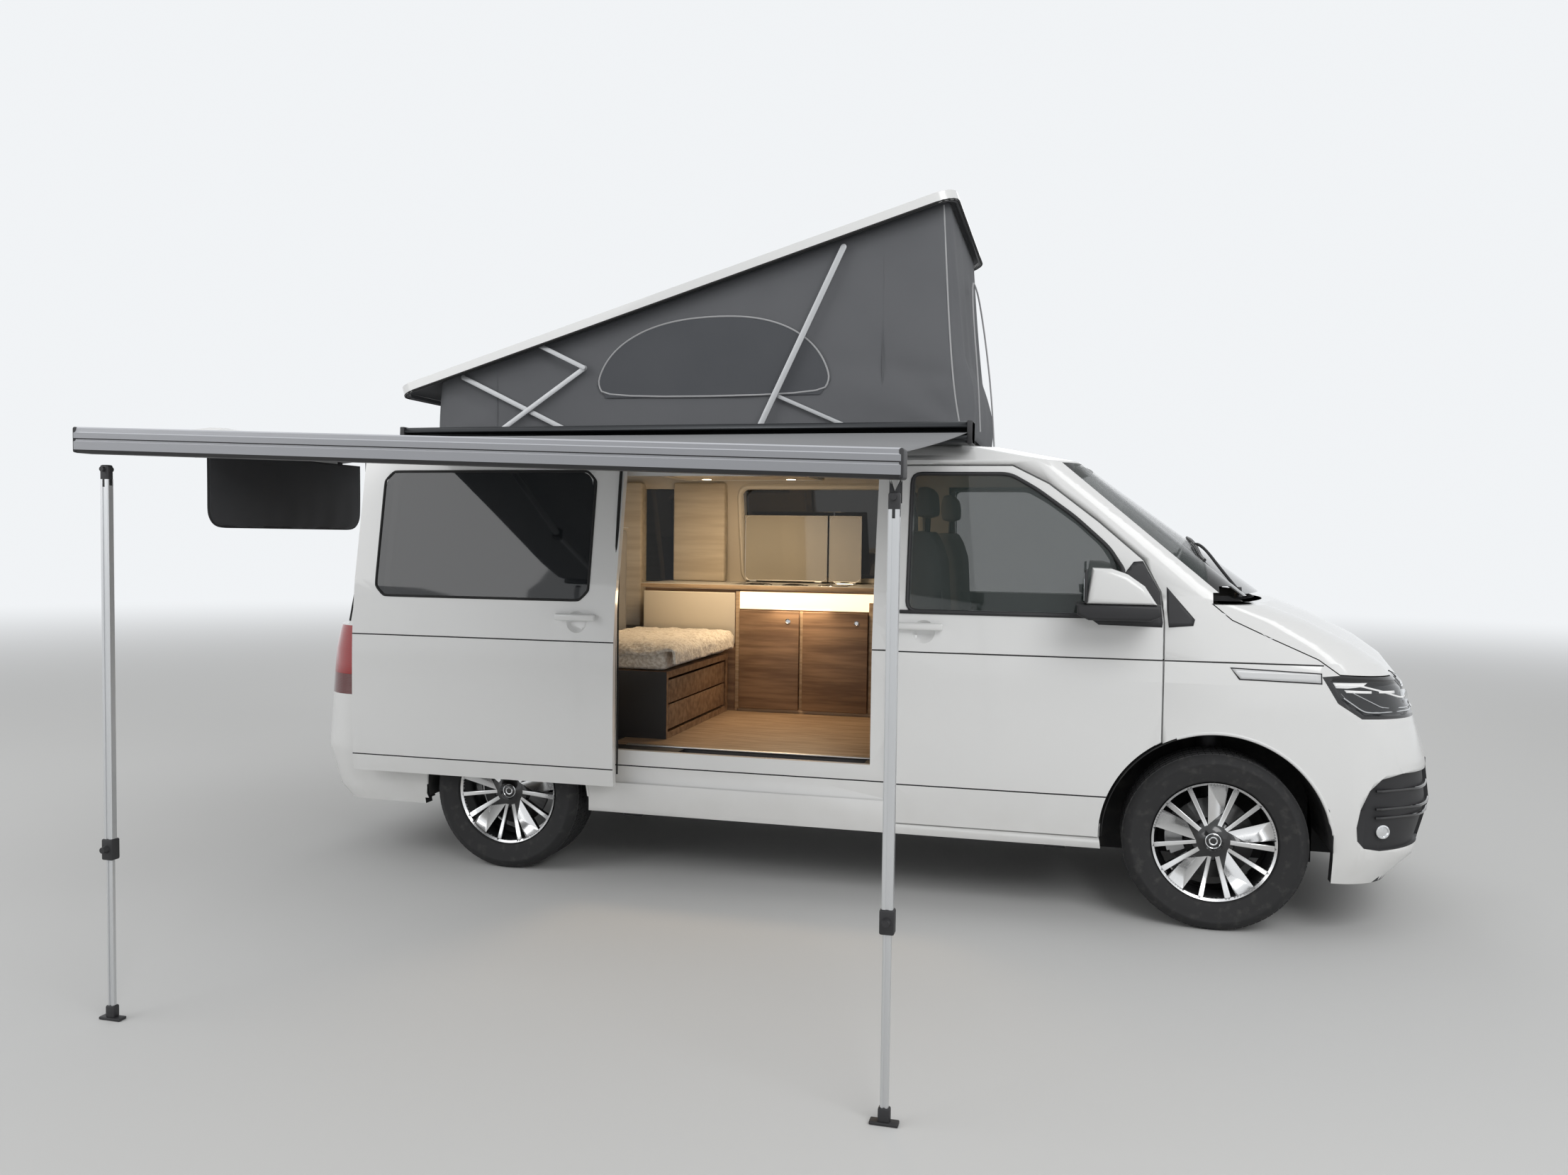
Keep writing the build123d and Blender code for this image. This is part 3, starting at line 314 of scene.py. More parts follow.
# %% Smooth metal and glass
# Each row is a name, a colour, roughness, metallic, coat and alpha, then the scale and detail of
# a noise, and how far and from where it varies the roughness. The tint of a glass darkens what
# is behind it.
SMEARED = (("arm_metal", (0.52, 0.53, 0.54), 0.42, 0.55, 0.0, 1.0, 50.0, 4.0, 0.2, 0.32),
           ("bare_steel", (0.42, 0.42, 0.42), 0.4, 1.0, 0.0, 1.0, 40.0, 4.0, 0.3, 0.25),
           ("mirror_glass", (0.75, 0.78, 0.8), 0.03, 1.0, 0.0, 1.0, 8.0, 2.0, 0.03, 0.01),
           ("chrome", (0.82, 0.83, 0.84), 0.06, 1.0, 0.0, 1.0, 25.0, 2.0, 0.06, 0.03),
           ("gloss_black", (0.01, 0.01, 0.011), 0.1, 0.0, 0.6, 1.0, 5.0, 3.0, 0.08, 0.06),
           ("privacy_glass", (0.012, 0.014, 0.016), 0.03, 0.0, 0.6, 0.86, 3.0, 4.0, 0.05, 0.01),
           ("cab_glass", (0.05, 0.065, 0.062), 0.03, 0.0, 0.6, 0.42, 3.0, 4.0, 0.05, 0.01),
           ("lid_glass", (0.50, 0.47, 0.40), 0.03, 0.0, 0.6, 0.82, 3.0, 4.0, 0.05, 0.01),
           ("lamp_cover", (0.10, 0.11, 0.12), 0.03, 0.0, 0.6, 0.16, 3.0, 4.0, 0.05, 0.01))
for name, color, roughness, metallic, coat, alpha, scale, detail, spread, least in SMEARED:
    made = Finish(name, color, roughness, metallic, coat, alpha)
    made.set("Roughness", made.noise(scale, detail) * spread + least)

# %% Dusty finishes
# Each row is a name, a colour, roughness and metallic, the dust's colour and how much of it
# shows, the dust's noise (scale, detail, where it starts and ends), and the grain's scale and
# depth in metres.
DUSTY = (("black_steel", (0.03, 0.03, 0.032), 0.5, 0.2, (0.13, 0.12, 0.1), 0.4,
          (14.0, 5.0, 0.45, 0.75), 220.0, 0.0002),
         ("tyre_rubber", (0.02, 0.02, 0.021), 0.78, 0.0, (0.075, 0.072, 0.068), 0.5,
          (30.0, 6.0, 0.5, 0.8), 700.0, 0.0002),
         ("wheel_liner", (0.016, 0.016, 0.017), 0.85, 0.0, (0.085, 0.08, 0.072), 0.5,
          (12.0, 5.0, 0.45, 0.8), 160.0, 0.0004))
for name, color, roughness, metallic, dust, share, (scale, detail, low, high), grain, depth in DUSTY:
    made = Finish(name, color, roughness, metallic)
    made.set("Base Color", made.mix(made.noise(scale, detail).step(low, high) * share, color, dust))
    made.bump(made.noise(grain, 3.0), depth)

# %% Painted and drawn metal
WHITE = (0.83, 0.835, 0.83)
paint = Finish("white_paint", WHITE, roughness=0.32, coat=0.9)
low_on_body = 1 - paint.along(2).step(0.28, 0.62)
dust = paint.noise(9.0, 5.0) * low_on_body * 0.35
paint.set("Base Color", paint.mix(dust, WHITE, (0.60, 0.58, 0.54)))
paint.set("Roughness", dust * 0.5 + 0.3)
paint.set("Coat Roughness", 0.06)

aluminium = Finish("aluminium", (0.66, 0.67, 0.68), roughness=0.34, metallic=0.9)
brushed = aluminium.noise(60.0, 4.0, stretch=(0.4, 14.0, 14.0))
aluminium.set("Roughness", brushed * 0.22 + 0.24)
aluminium.bump(brushed, 0.00006)
# The second rail finish is the same metal in a lighter grey: a painted highlight for the rail's top faces.
for name, grey, shine in (("rail_grey", 0.30, 0.42), ("rail_light", 0.55, 0.36)):
    rail = Finish(name, (grey, grey * 1.02, grey * 1.08), roughness=shine, metallic=0.35)
    rail.set("Roughness", rail.noise(40.0, 3.0, stretch=(0.3, 8.0, 8.0)) * 0.16 + (shine - 0.08))
alloy_cut = Finish("alloy_cut", (0.78, 0.78, 0.78), roughness=0.24, metallic=0.95, coat=0.5)
turning_lines = alloy_cut.noise(300.0, 2.0)
alloy_cut.set("Roughness", turning_lines * 0.15 + 0.17)
alloy_cut.bump(turning_lines, 0.00003)

# %% Plastics
trim = Finish("black_trim", (0.022, 0.022, 0.024), roughness=0.55)
trim.set("Roughness", trim.noise(6.0, 3.0) * 0.2 + 0.45)
trim.bump(trim.noise(1400.0, 2.0), 0.00012)
worktop_finish = Finish("worktop", (0.62, 0.61, 0.58), roughness=0.35)
flecks = worktop_finish.noise(260.0, 2.0).step(0.55, 0.7)
worktop_finish.set("Base Color", worktop_finish.mix(flecks, (0.62, 0.61, 0.58), (0.4, 0.39, 0.36)))
for name, warmth, strength in (("light_strip", (1.0, 0.74, 0.42), 1.5), ("warm_lamp", (1.0, 0.84, 0.6), 9.0),
                               ("light_guide", (0.93, 0.95, 1.0), 0.35)):
    glow = Finish(name, (0.9, 0.89, 0.86), roughness=0.4)
    glow.set("Emission Color", (*warmth, 1.0))
    glow.set("Emission Strength", strength)
red_lens = Finish("red_lens", (0.36, 0.012, 0.012), roughness=0.12, coat=0.8)
red_lens.set("Base Color", red_lens.mix(red_lens.wave(60.0, "Z") * 0.5, (0.4, 0.015, 0.015), (0.2, 0.006, 0.006)))
smoked_lens = Finish("smoked_lens", (0.13, 0.02, 0.02), roughness=0.14, coat=0.8)
smoked_lens.bump(smoked_lens.wave(70.0, "Z"), 0.0005)

# %% Cloth
# Plain weave: crossing threads, with slow changes of shade as cloth has in daylight. Each row is
# a name, a colour, a second shade, the width of a thread and the depth of the weave in metres.
CLOTHS = (("tent_cloth", (0.135, 0.14, 0.15), (0.17, 0.175, 0.185), 0.004, 0.0004),
          ("window_mesh", (0.085, 0.09, 0.1), (0.115, 0.12, 0.13), 0.006, 0.0006),
          ("awning_cloth", (0.235, 0.24, 0.25), (0.28, 0.285, 0.295), 0.006, 0.0003),
          ("bag_cloth", (0.05, 0.052, 0.058), (0.075, 0.078, 0.084), 0.005, 0.0005),
          ("seat_cloth", (0.20, 0.20, 0.205), (0.27, 0.27, 0.275), 0.005, 0.0006),
          ("piping_cloth", (0.42, 0.43, 0.44), (0.5, 0.5, 0.51), 0.003, 0.0002))
for name, color, shade, thread, depth in CLOTHS:
    made = Finish(name, color, roughness=0.9)
    warp = made.wave(1.0 / thread, "DIAGONAL", stretch=(1.0, 1.0, 0.0))
    weft = made.wave(1.0 / thread, "Z")
    made.set("Base Color", made.mix(made.noise(2.2, 4.0), color, shade))
    made.bump(warp * 0.5 + weft * 0.5, depth)

fleece = Finish("fleece", (0.71, 0.67, 0.6), roughness=1.0)
tufts = fleece.noise(70.0, 6.0)
fleece.set("Base Color", fleece.mix(tufts.step(0.35, 0.65), (0.55, 0.5, 0.43), (0.8, 0.77, 0.71)))
fleece.set("Sheen Weight", 0.5)
fleece.bump(tufts, 0.006)

# %% Timber
# The grain of all boards is drawn out along the van. Each row is a name, a dark and a light
# colour, the scale of the rings and the roughness.
GRAIN = (0.45, 6.0, 6.0)
TIMBERS = (("cabinet_wood", (0.165, 0.10, 0.062), (0.33, 0.215, 0.135), 6.0, 0.45),
           ("trim_wood", (0.36, 0.26, 0.17), (0.52, 0.40, 0.28), 11.0, 0.45),
           ("wall_wood", (0.50, 0.43, 0.33), (0.62, 0.55, 0.44), 5.0, 0.6),
           ("floor_wood", (0.22, 0.145, 0.09), (0.38, 0.27, 0.18), 11.0, 0.5))
for name, dark, light, rings, gloss in TIMBERS:
    made = Finish(name, light, roughness=gloss)
    pores = made.noise(rings * 9.0, 3.0, stretch=GRAIN)
    made.set("Base Color", made.mix(made.noise(rings, 6.0, stretch=GRAIN).step(0.3, 0.7), dark, light))
    made.set("Roughness", pores * 0.25 + (gloss - 0.1))
    made.bump(pores, 0.00025)
print(len(FINISHES), "finishes")

# %% [markdown]
# ## The CAD pieces
# Most of the van's hard pieces already have their true shape. A CAD mesh is loose triangles, so
# a merged copy with rounded shading stands for each curved panel, and the flat pieces keep
# their own mesh and only get a finish.

# %% Finishes on the CAD pieces that stay
NODE_FINISH = {
    "black_steel": ("floor_pan", "front_structure", "tailgate_struts_tube", "engine_block", "tank_and_exhaust",
                    "axle_front", "axle_rear"),
    "bare_steel": ("knuckle_left", "knuckle_right"),
    "dark_rail": ("roof_rails",),
    "chrome": ("tailgate_struts_rod",),
    "black_trim": ("dashboard", "steering_wheel"),
    "light_lining": ("ceiling_boards",),
    "cabinet_wood": ("kitchen_cabinet",),
    "worktop": ("kitchen_worktop",),
    "privacy_glass": ("tailgate_glass",),
    "cab_glass": ("front_door_glass_left", "front_door_glass_right"),
    "lid_glass": ("glass_lid_rear", "glass_lid_front"),
}
for node, made in NODES.items():
    made.data.materials.clear()
    wanted = next((finish for finish, nodes in NODE_FINISH.items() if node in nodes), "white_paint")
    made.data.materials.append(FINISHES[wanted])
print("dressed", len(NODES), "nodes")

# %% [markdown]
# ## Making new pieces
# A new piece starts as an empty bmesh. Small helpers add a block, a bar, a plate cut from an
# outline or a turned ring to it, each from one bmesh operator, and `piece` makes it an object
# that rides on a body of the van. Its place is in its mesh, so the object stays at the origin.


# %% From a bmesh to a piece
def piece(name, mesh, finish, body="body", stands_for=(), sharp=35.0, outwards=True):
    """Make a bmesh an object with a finish, riding on a body."""
    bmesh.ops.remove_doubles(mesh, verts=mesh.verts, dist=0.00002)
    if outwards:
        bmesh.ops.recalc_face_normals(mesh, faces=mesh.faces)
    data = mesh_data(name, mesh)
    for wanted in (finish if isinstance(finish, tuple) else (finish,)):
        data.materials.append(FINISHES[wanted])
    data.shade_smooth()
    data.set_sharp_from_angle(angle=math.radians(sharp))
    made = added(name, data)
    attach(made, body)
    if stands_for:
        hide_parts(*stands_for)
    return made


def soften(mesh, edges, offset, segments=2, clamp=False):
    """Round edges off with a bevel."""
    bmesh.ops.bevel(mesh, geom=edges, offset=offset, offset_type="OFFSET", affect="EDGES", segments=segments,
                    profile=0.5, material=-1, clamp_overlap=clamp)


def sharper(mesh, angle):
    """Edges where two faces meet at more than an angle, in radians."""
    return [edge for edge in mesh.edges if len(edge.link_faces) == 2 and edge.calc_face_angle(0) > angle]


def drawn_out(mesh, corners, shift):
    """Face between some corners, extruded by a shift. Gives the corners of its far end."""
    made = bmesh.ops.extrude_face_region(mesh, geom=[mesh.faces.new(corners)])["geom"]
    raised = [item for item in made if isinstance(item, bmesh.types.BMVert)]
    bmesh.ops.translate(mesh, vec=shift, verts=raised)
    return raised


def thicken(made, thickness, offset=-1.0):
    """Give a thin piece its thickness."""
    solid = made.modifiers.new("thick", "SOLIDIFY")
    solid.thickness = thickness
    solid.offset = offset
    return made


def sheet(columns, rows, place):
    """Flat grid whose points go where a function of two shares, from 0 to 1, puts them."""
    mesh = bmesh.new()
    bmesh.ops.create_grid(mesh, x_segments=columns, y_segments=rows, size=0.5)
    for vert in mesh.verts:
        vert.co = place(vert.co.x + 0.5, vert.co.y + 0.5)
    return mesh


def block(mesh, low, high, round_off=0.0, segments=2):
    """Block between two corners, with its edges rounded off."""
    low, high = at(*low), at(*high)
    verts = bmesh.ops.create_cube(mesh, size=1.0)["verts"]
    bmesh.ops.scale(mesh, vec=high - low, verts=verts)
    bmesh.ops.translate(mesh, vec=(low + high) / 2, verts=verts)
    if round_off:
        soften(mesh, list({edge for vert in verts for edge in vert.link_edges}), round_off, segments)


def side_block(mesh, side, low, high, round_off, segments=2):
    """Block beside the van: its Y values are distances from the middle, on side 1 or -1."""
    near, far = sorted((side * low[1], side * high[1]))
    block(mesh, (low[0], near, low[2]), (high[0], far, high[2]), round_off, segments)


def centred(x, y, half_x, half_y, low, high):
    """Corners of a block about an upright line."""
    return (x - half_x, y - half_y, low), (x + half_x, y + half_y, high)


def blocks(name, finish, *boxes, body="body"):
    """Piece made of blocks, each given as block takes it."""
    mesh = bmesh.new()
    for box in boxes:
        block(mesh, *box)
    return piece(name, mesh, finish, body)


def bar(mesh, start, end, radius, tip=None, steps=20):
    """Round bar or cone between two points."""
    start, end = at(*start), at(*end)
    along = end - start
    place = Matrix.Translation((start + end) / 2) @ along.to_track_quat("Z", "Y").to_matrix().to_4x4()
    bmesh.ops.create_cone(mesh, cap_ends=True, segments=steps, radius1=radius,
                          radius2=radius if tip is None else tip, depth=along.length, matrix=place)


def plate(mesh, outline, axis, low, high, round_off=0.0, segments=2):
    """Plate cut from an outline: its two numbers are the axes that are left, in X, Y, Z order."""
    corners = []
    for first, second in outline:
        spot = [first, second]
        spot.insert(axis, low)
        corners.append(mesh.verts.new(at(*spot)))
    shift = Vector((0.0, 0.0, 0.0))
    shift[axis] = high - low
    raised = drawn_out(mesh, corners, shift)
    if round_off:
        rims = [edge for edge in {e for v in corners + raised for e in v.link_edges}
                if (edge.verts[0] in corners) == (edge.verts[1] in corners)]
        soften(mesh, rims, round_off, segments)


def turned(mesh, profile, centre, axis, steps=48):
    """Ring or disc about an axis, from pairs of radius and distance along the axis."""
    axis = Vector(axis)
    out = axis.orthogonal().normalized()
    centre = at(*centre)
    verts = [mesh.verts.new(centre + out * radius + axis * along) for radius, along in profile]
    edges = [mesh.edges.new(pair) for pair in zip(verts, verts[1:] + verts[:1])]
    bmesh.ops.spin(mesh, geom=verts + edges, cent=centre, axis=axis, angle=math.tau, steps=steps,
                   use_merge=True, use_duplicate=False)


def wire(mesh, points, radius, closed=False, smooth=True, sides=3):
    """Round wire or piping along points, from a curve with a bevel."""
    curve = bpy.data.curves.new("wire", "CURVE")
    curve.dimensions = "3D"
    curve.bevel_depth = radius
    curve.bevel_resolution = sides
    curve.use_fill_caps = True
    spline = curve.splines.new("NURBS" if smooth else "POLY")
    spline.points.add(len(points) - 1)
    for point, spot in zip(spline.points, points):
        point.co = (*at(*spot), 1.0)
    spline.use_cyclic_u = closed
    if smooth:
        spline.use_endpoint_u = not closed
        spline.order_u = 3
        spline.resolution_u = 4
    holder = bpy.data.objects.new("wire", curve)
    drawn = bpy.data.meshes.new_from_object(holder)
    mesh.from_mesh(drawn)
    bpy.data.objects.remove(holder)
    bpy.data.curves.remove(curve)
    bpy.data.meshes.remove(drawn)


def arc(centre, radius, start, end, steps=10):
    """Points on an arc in a plane, from one angle to another, in degrees."""
    turns = [math.radians(start + (end - start) * step / steps) for step in range(steps + 1)]
    return [(centre[0] + radius * math.cos(turn), centre[1] + radius * math.sin(turn)) for turn in turns]


def rounded(low, high, radius, steps=5):
    """Outline of a rectangle with round corners."""
    (left, bottom), (right, top) = low, high
    corners = ((right - radius, top - radius, 0), (left + radius, top - radius, 90),
               (left + radius, bottom + radius, 180), (right - radius, bottom + radius, 270))
    return [spot for x, y, turn in corners for spot in arc((x, y), radius, turn, turn + 90, steps)]


# %% [markdown]
# A copy of a curved CAD panel is merged first, because the CAD mesh is loose triangles. The
# flat facets of a large sheet-metal panel would show in its reflections, so the copy shades
# smoothly up to a limit, past which an edge stays a crisp pressing. Weighted normals keep the
# flat areas flat.


# %% Copies of CAD nodes
def merged(*nodes):
    """Copy of CAD nodes with their loose triangles joined."""
    mesh = bmesh.new()
    for node in nodes:
        mesh.from_mesh(NODES[node].data)
    bmesh.ops.remove_doubles(mesh, verts=mesh.verts, dist=0.00003)
    return mesh


def owner(node):
    """Name of the body that carries a CAD node."""
    return next(body for body, nodes in frame["record"]["behaviour"]["bodies"].items() if node in nodes)

# %% The skin of a panel
SURFACES = {}


def skin_at(node, x, z, side, start=0.97):
    """Y of a panel's outer skin beside the van, found by a ray from outside, or None."""
    struck = surface(node).ray_cast(at(x, side * start, z), Vector((0, -side, 0)), 0.6)[0]
    return None if struck is None else struck.y - MIDDLE.y


def nose_at(node, y, z):
    """X of the van's nose at a height, found by a ray from ahead."""
    struck = surface(node).ray_cast(at(2.8, y, z), Vector((-1, 0, 0)), 2.0)[0]
    return None if struck is None else struck.x - MIDDLE.x


def height_at(node, x, y):
    """Height of a panel seen from above."""
    struck = surface(node).ray_cast(at(x, y, 2.6), Vector((0, 0, -1)), 2.0)[0]
    return None if struck is None else struck.z


def surface(node):
    """Search tree of one CAD node or of a pair of nodes."""
    if node not in SURFACES:
        SURFACES[node] = BVHTree.FromBMesh(merged(*(node if isinstance(node, tuple) else (node,))))
    return SURFACES[node]


def along_skin(node, spots, side, proud=0.001, start=0.97):
    """Points just outside a panel's skin, from pairs of X and Z."""
    line = []
    for x, z in spots:
        y = skin_at(node, x, z, side, start)
        if y is not None:
            line.append((x, y + side * proud, z))
    return line


def finer(spots, step=0.06, closed=False):
    """Outline with points added until none is further than a step from the next."""
    line = []
    ends = spots[1:] + (spots[:1] if closed else [])
    for (x0, z0), (x1, z1) in zip(spots, ends):
        count = max(1, math.ceil(math.hypot(x1 - x0, z1 - z0) / step))
        line += [(x0 + (x1 - x0) * part / count, z0 + (z1 - z0) * part / count) for part in range(count)]
    return line if closed else line + [spots[-1]]


def inside(outline, x, z):
    """Whether a point lies in a polygon."""
    hit = False
    for (x0, z0), (x1, z1) in zip(outline, outline[1:] + outline[:1]):
        if (z0 > z) != (z1 > z) and x < x0 + (z - z0) / (z1 - z0) * (x1 - x0):
            hit = not hit
    return hit


def trim_to(mesh, outline):
    """Cut away what lies outside a convex outline of X and Z."""
    middle = at(sum(x for x, z in outline) / len(outline), 0.0, sum(z for x, z in outline) / len(outline))
    for first, second in zip(outline, outline[1:] + outline[:1]):
        one, two = at(first[0], 0.0, first[1]), at(second[0], 0.0, second[1])
        out = (two - one).cross(Vector((0, 1, 0))).normalized()
        if out.dot(middle - one) > 0:
            out = -out
        bmesh.ops.bisect_plane(mesh, geom=mesh.verts[:] + mesh.edges[:] + mesh.faces[:], dist=0.00001,
                               plane_co=one, plane_no=out, clear_outer=True)


PATCH_CELL = 0.02


def skin_patch(name, node, outline, side, finish, body="body", proud=0.0012, start=0.97, thickness=None):
    """Thin panel that lies on a CAD panel's skin, cut to a convex outline of X and Z."""
    low, high = (Vector((end(x for x, z in outline), end(z for x, z in outline))) for end in (min, max))
    wide, tall = high - low
    mesh = sheet(max(2, math.ceil(wide / PATCH_CELL)), max(2, math.ceil(tall / PATCH_CELL)),
                 lambda right, up: at(low.x + wide * right, 0.0, low.y + tall * up))
    trim_to(mesh, outline)
    for vert in mesh.verts:
        spot = vert.co - MIDDLE
        y = skin_at(node, spot.x, spot.z, side, start)
        vert.co.y = MIDDLE.y + (side * 0.9 if y is None else y + side * proud)
    thicken(piece(name, mesh, finish, body, sharp=50), thickness or proud * 1.6, 0.0)


# %% [markdown]
# Sheet metal gets its fine form in a press: a groove along the flank, a hollow behind a handle, a
# slot in the nose. The same is done here to a copy of a CAD panel. Planes cut the outer skin
# along an outline, and the faces inside it are extruded inwards.


# %% Pressing a panel
ARCHES = ((1.5, 0.428), (-1.5, 0.4))
CREASES = ((1.042, 1.0475), (0.497, 0.5025))
HOLLOW_HEIGHT = 1.128
HOLLOWS = {"front_door": (0.364, 0.905), "sliding_door": (-1.118, 0.99)}
FOG_LINE = [(2.46, 0.644), (2.17, 0.644), (2.09, 0.625), (2.046, 0.582), (2.014, 0.508), (2.003, 0.44),
            (2.008, 0.388), (2.033, 0.36), (2.092, 0.35), (2.46, 0.365)]
NOSE_SLOTS = ((0.47, 0.648, 0.68), (0.47, 0.696, 0.728), (0.47, 0.744, 0.776),
              (0.38, 0.4, 0.436), (0.38, 0.452, 0.488))
GRILLE_SLOTS = ((0.505, 0.83, 0.852), (0.505, 0.866, 0.888), (0.505, 0.902, 0.924))
LENS_LINE = [(1.898, 0.99), (1.94, 0.915), (2.018, 0.862), (2.39, 0.862), (2.39, 0.948), (2.176, 0.986)]


def pressed(mesh, outline, axis, depth, outer, taper=0.0, extra=()):
    """Press a convex area of the outer skin inwards. The outline leaves out the given axis."""
    first_axis, second_axis = (index for index in range(3) if index != axis)

    def lifted(spot):
        point = Vector((0.0, 0.0, 0.0))
        point[first_axis], point[second_axis] = spot
        return MIDDLE + point

    reach = [(min(spot[part] for spot in outline), max(spot[part] for spot in outline)) for part in (0, 1)]
    near = []
    for face in mesh.faces:
        spots = [vert.co - MIDDLE for vert in face.verts]
        crossing = all(min(spot[index] for spot in spots) < high and max(spot[index] for spot in spots) > low
                       for index, (low, high) in zip((first_axis, second_axis), reach))
        if crossing and outer(face.calc_center_median() - MIDDLE, face.normal):
            near.append(face)
    middle = sum((lifted(spot) for spot in outline), Vector()) / len(outline)
    unit = Vector([1.0 if index == axis else 0.0 for index in range(3)])
    planes = list(extra)
    for first, second in zip(outline, outline[1:] + outline[:1]):
        out = (lifted(second) - lifted(first)).cross(unit).normalized()
        planes.append((lifted(first), -out if out.dot(middle - lifted(first)) > 0 else out))
    for point, out in planes:
        geom = list({item for face in near for item in (face, *face.edges, *face.verts)})
        cut = bmesh.ops.bisect_plane(mesh, geom=geom, dist=0.00002, plane_co=point, plane_no=out)
        near = [item for item in cut["geom"] if isinstance(item, bmesh.types.BMFace)]
    region = [face for face in near
              if all((face.calc_center_median() - point).dot(out) < 0 for point, out in planes)]
    if not region:
        return
    made = bmesh.ops.extrude_face_region(mesh, geom=region)["geom"]
    floor_faces = {item for item in made if isinstance(item, bmesh.types.BMFace)}
    shifts = {}
    for vert in (item for item in made if isinstance(item, bmesh.types.BMVert)):
        facing = sum((face.normal for face in vert.link_faces if face in floor_faces), Vector()).normalized()
        inwards = middle - vert.co
        inwards[axis] = 0.0
        shifts[vert] = inwards * taper - facing * depth
    for vert, shift in shifts.items():
        vert.co += shift
    bmesh.ops.delete(mesh, geom=[face for face in region if face.is_valid], context="FACES_KEEP_BOUNDARY")


def flank_outer(side):
    return lambda spot, normal: normal.y * side > 0.3 and spot.y * side > 0.75


def nose_outer(spot, normal):
    return normal.x > 0.2 and spot.x > 1.9


def press_corner(mesh, outline, side, y_from, depth):
    """Press an area that wraps from the flank to the nose, outwards of a distance from the middle."""
    pressed(mesh, outline, 1, depth,
            lambda spot, normal: spot.y * side > y_from - 0.1 and (normal.x > 0.1 or normal.y * side > 0.1),
            extra=[(at(0, side * y_from, 0), Vector((0, -side, 0)))])


def box_outline(left, right, low, high):
    return [(left, low), (right, low), (right, high), (left, high)]


def press_panel(node, mesh):
    """All pressings of one panel."""
    sides = [-1] if node.endswith("right") or node == "sliding_door" else [1] if node.endswith("left") else [-1, 1]
    waist, sill = CREASES
    flank = node in ("wings", "sliding_door") or node.startswith(("front_door", "side_panel"))
    for side in sides if flank else ():
        pressed(mesh, box_outline(-2.285, 1.86, *waist), 1, 0.0045, flank_outer(side))
        if node != "wings":
            left = -2.19 if node == "sliding_door" else -1.01
            pressed(mesh, box_outline(left, 1.085, *sill), 1, 0.0045, flank_outer(side))
    for start, (x, y) in HOLLOWS.items():
        if node.startswith(start):
            pressed(mesh, arc((x, HOLLOW_HEIGHT), 0.046, 0, 345, 23), 1, 0.016, flank_outer(sides[0]), 0.3)
    for half, low, high in {"bumpers": NOSE_SLOTS, "grille": GRILLE_SLOTS}.get(node, ()):
        pressed(mesh, box_outline(-half, half, low, high), 0, 0.028, nose_outer)
    for side in sides:
        if node == "bumpers":
            press_corner(mesh, FOG_LINE, side, 0.575, 0.014)
        if node == "lamps":
            press_corner(mesh, LENS_LINE, side, 0.555, 0.007)


# %% [markdown]
# The CAD panels are shells with an outer skin, a lining and cut edges in one mesh. A copy of each
# gets smooth shading, and one small rule per panel says which finish a face has: paint outside,
# lining inside, black where a wheel arch or a slot goes in, and black in the creases as painted shade.


# %% Smooth copies of CAD panels
def in_arch(face):
    """Whether a face is the cut edge of a wheel arch, so all its corners lie on the arch."""
    return any(all(abs(math.hypot(vert.co.x - MIDDLE.x - x, vert.co.z - TYRE_RADIUS) - radius) < 0.009
                   for vert in face.verts) for x, radius in ARCHES)


def in_slot(spot, slots):
    return any(abs(spot.y) < half + 0.002 and low - 0.002 < spot.z < high + 0.002 for half, low, high in slots)


def flank_rule(face, spot, normal):
    """Paint outside, lining inside, black in the creases as painted shade, black in the arches and under the sill."""
    if any(math.hypot(spot.x - x, spot.z - HOLLOW_HEIGHT) < 0.05 and abs(spot.y) > y for x, y in HOLLOWS.values()):
        return 0
    # The faces inside a flank groove get black trim: painted shade for the dark line that the crease casts.
    if any(all(abs(vert.co.z - (low + high) / 2) < 0.0052 for vert in face.verts) for low, high in CREASES):
        return 2
    if in_arch(face) or spot.z < 0.295 or (spot.x > 1.28 and normal.y * spot.y < 0):
        return 2
    facing_in = normal.y * spot.y < 0 and abs(normal.y) > 0.35
    return 1 if facing_in or (abs(spot.y) < 0.7 and normal.z < -0.5) else 0


def nose_rule(face, spot, normal):
    """Bumpers: black fog housings, slots and backs."""
    if spot.x > 1.9 and in_slot(spot, NOSE_SLOTS):
        return 2
    if abs(spot.y) > 0.572 and inside(FOG_LINE, spot.x, spot.z):
        return 2
    back = (normal.x * spot.x < 0 and abs(normal.x) > 0.3) or (normal.y * spot.y < 0 and abs(normal.y) > 0.3)
    return 2 if back or in_arch(face) or spot.z < 0.225 else 0


def under_rule(limit):
    """Black on what faces down. The tailgate is open, so that is its inner side."""
    return lambda face, spot, normal: 2 if normal.z < -limit else 0


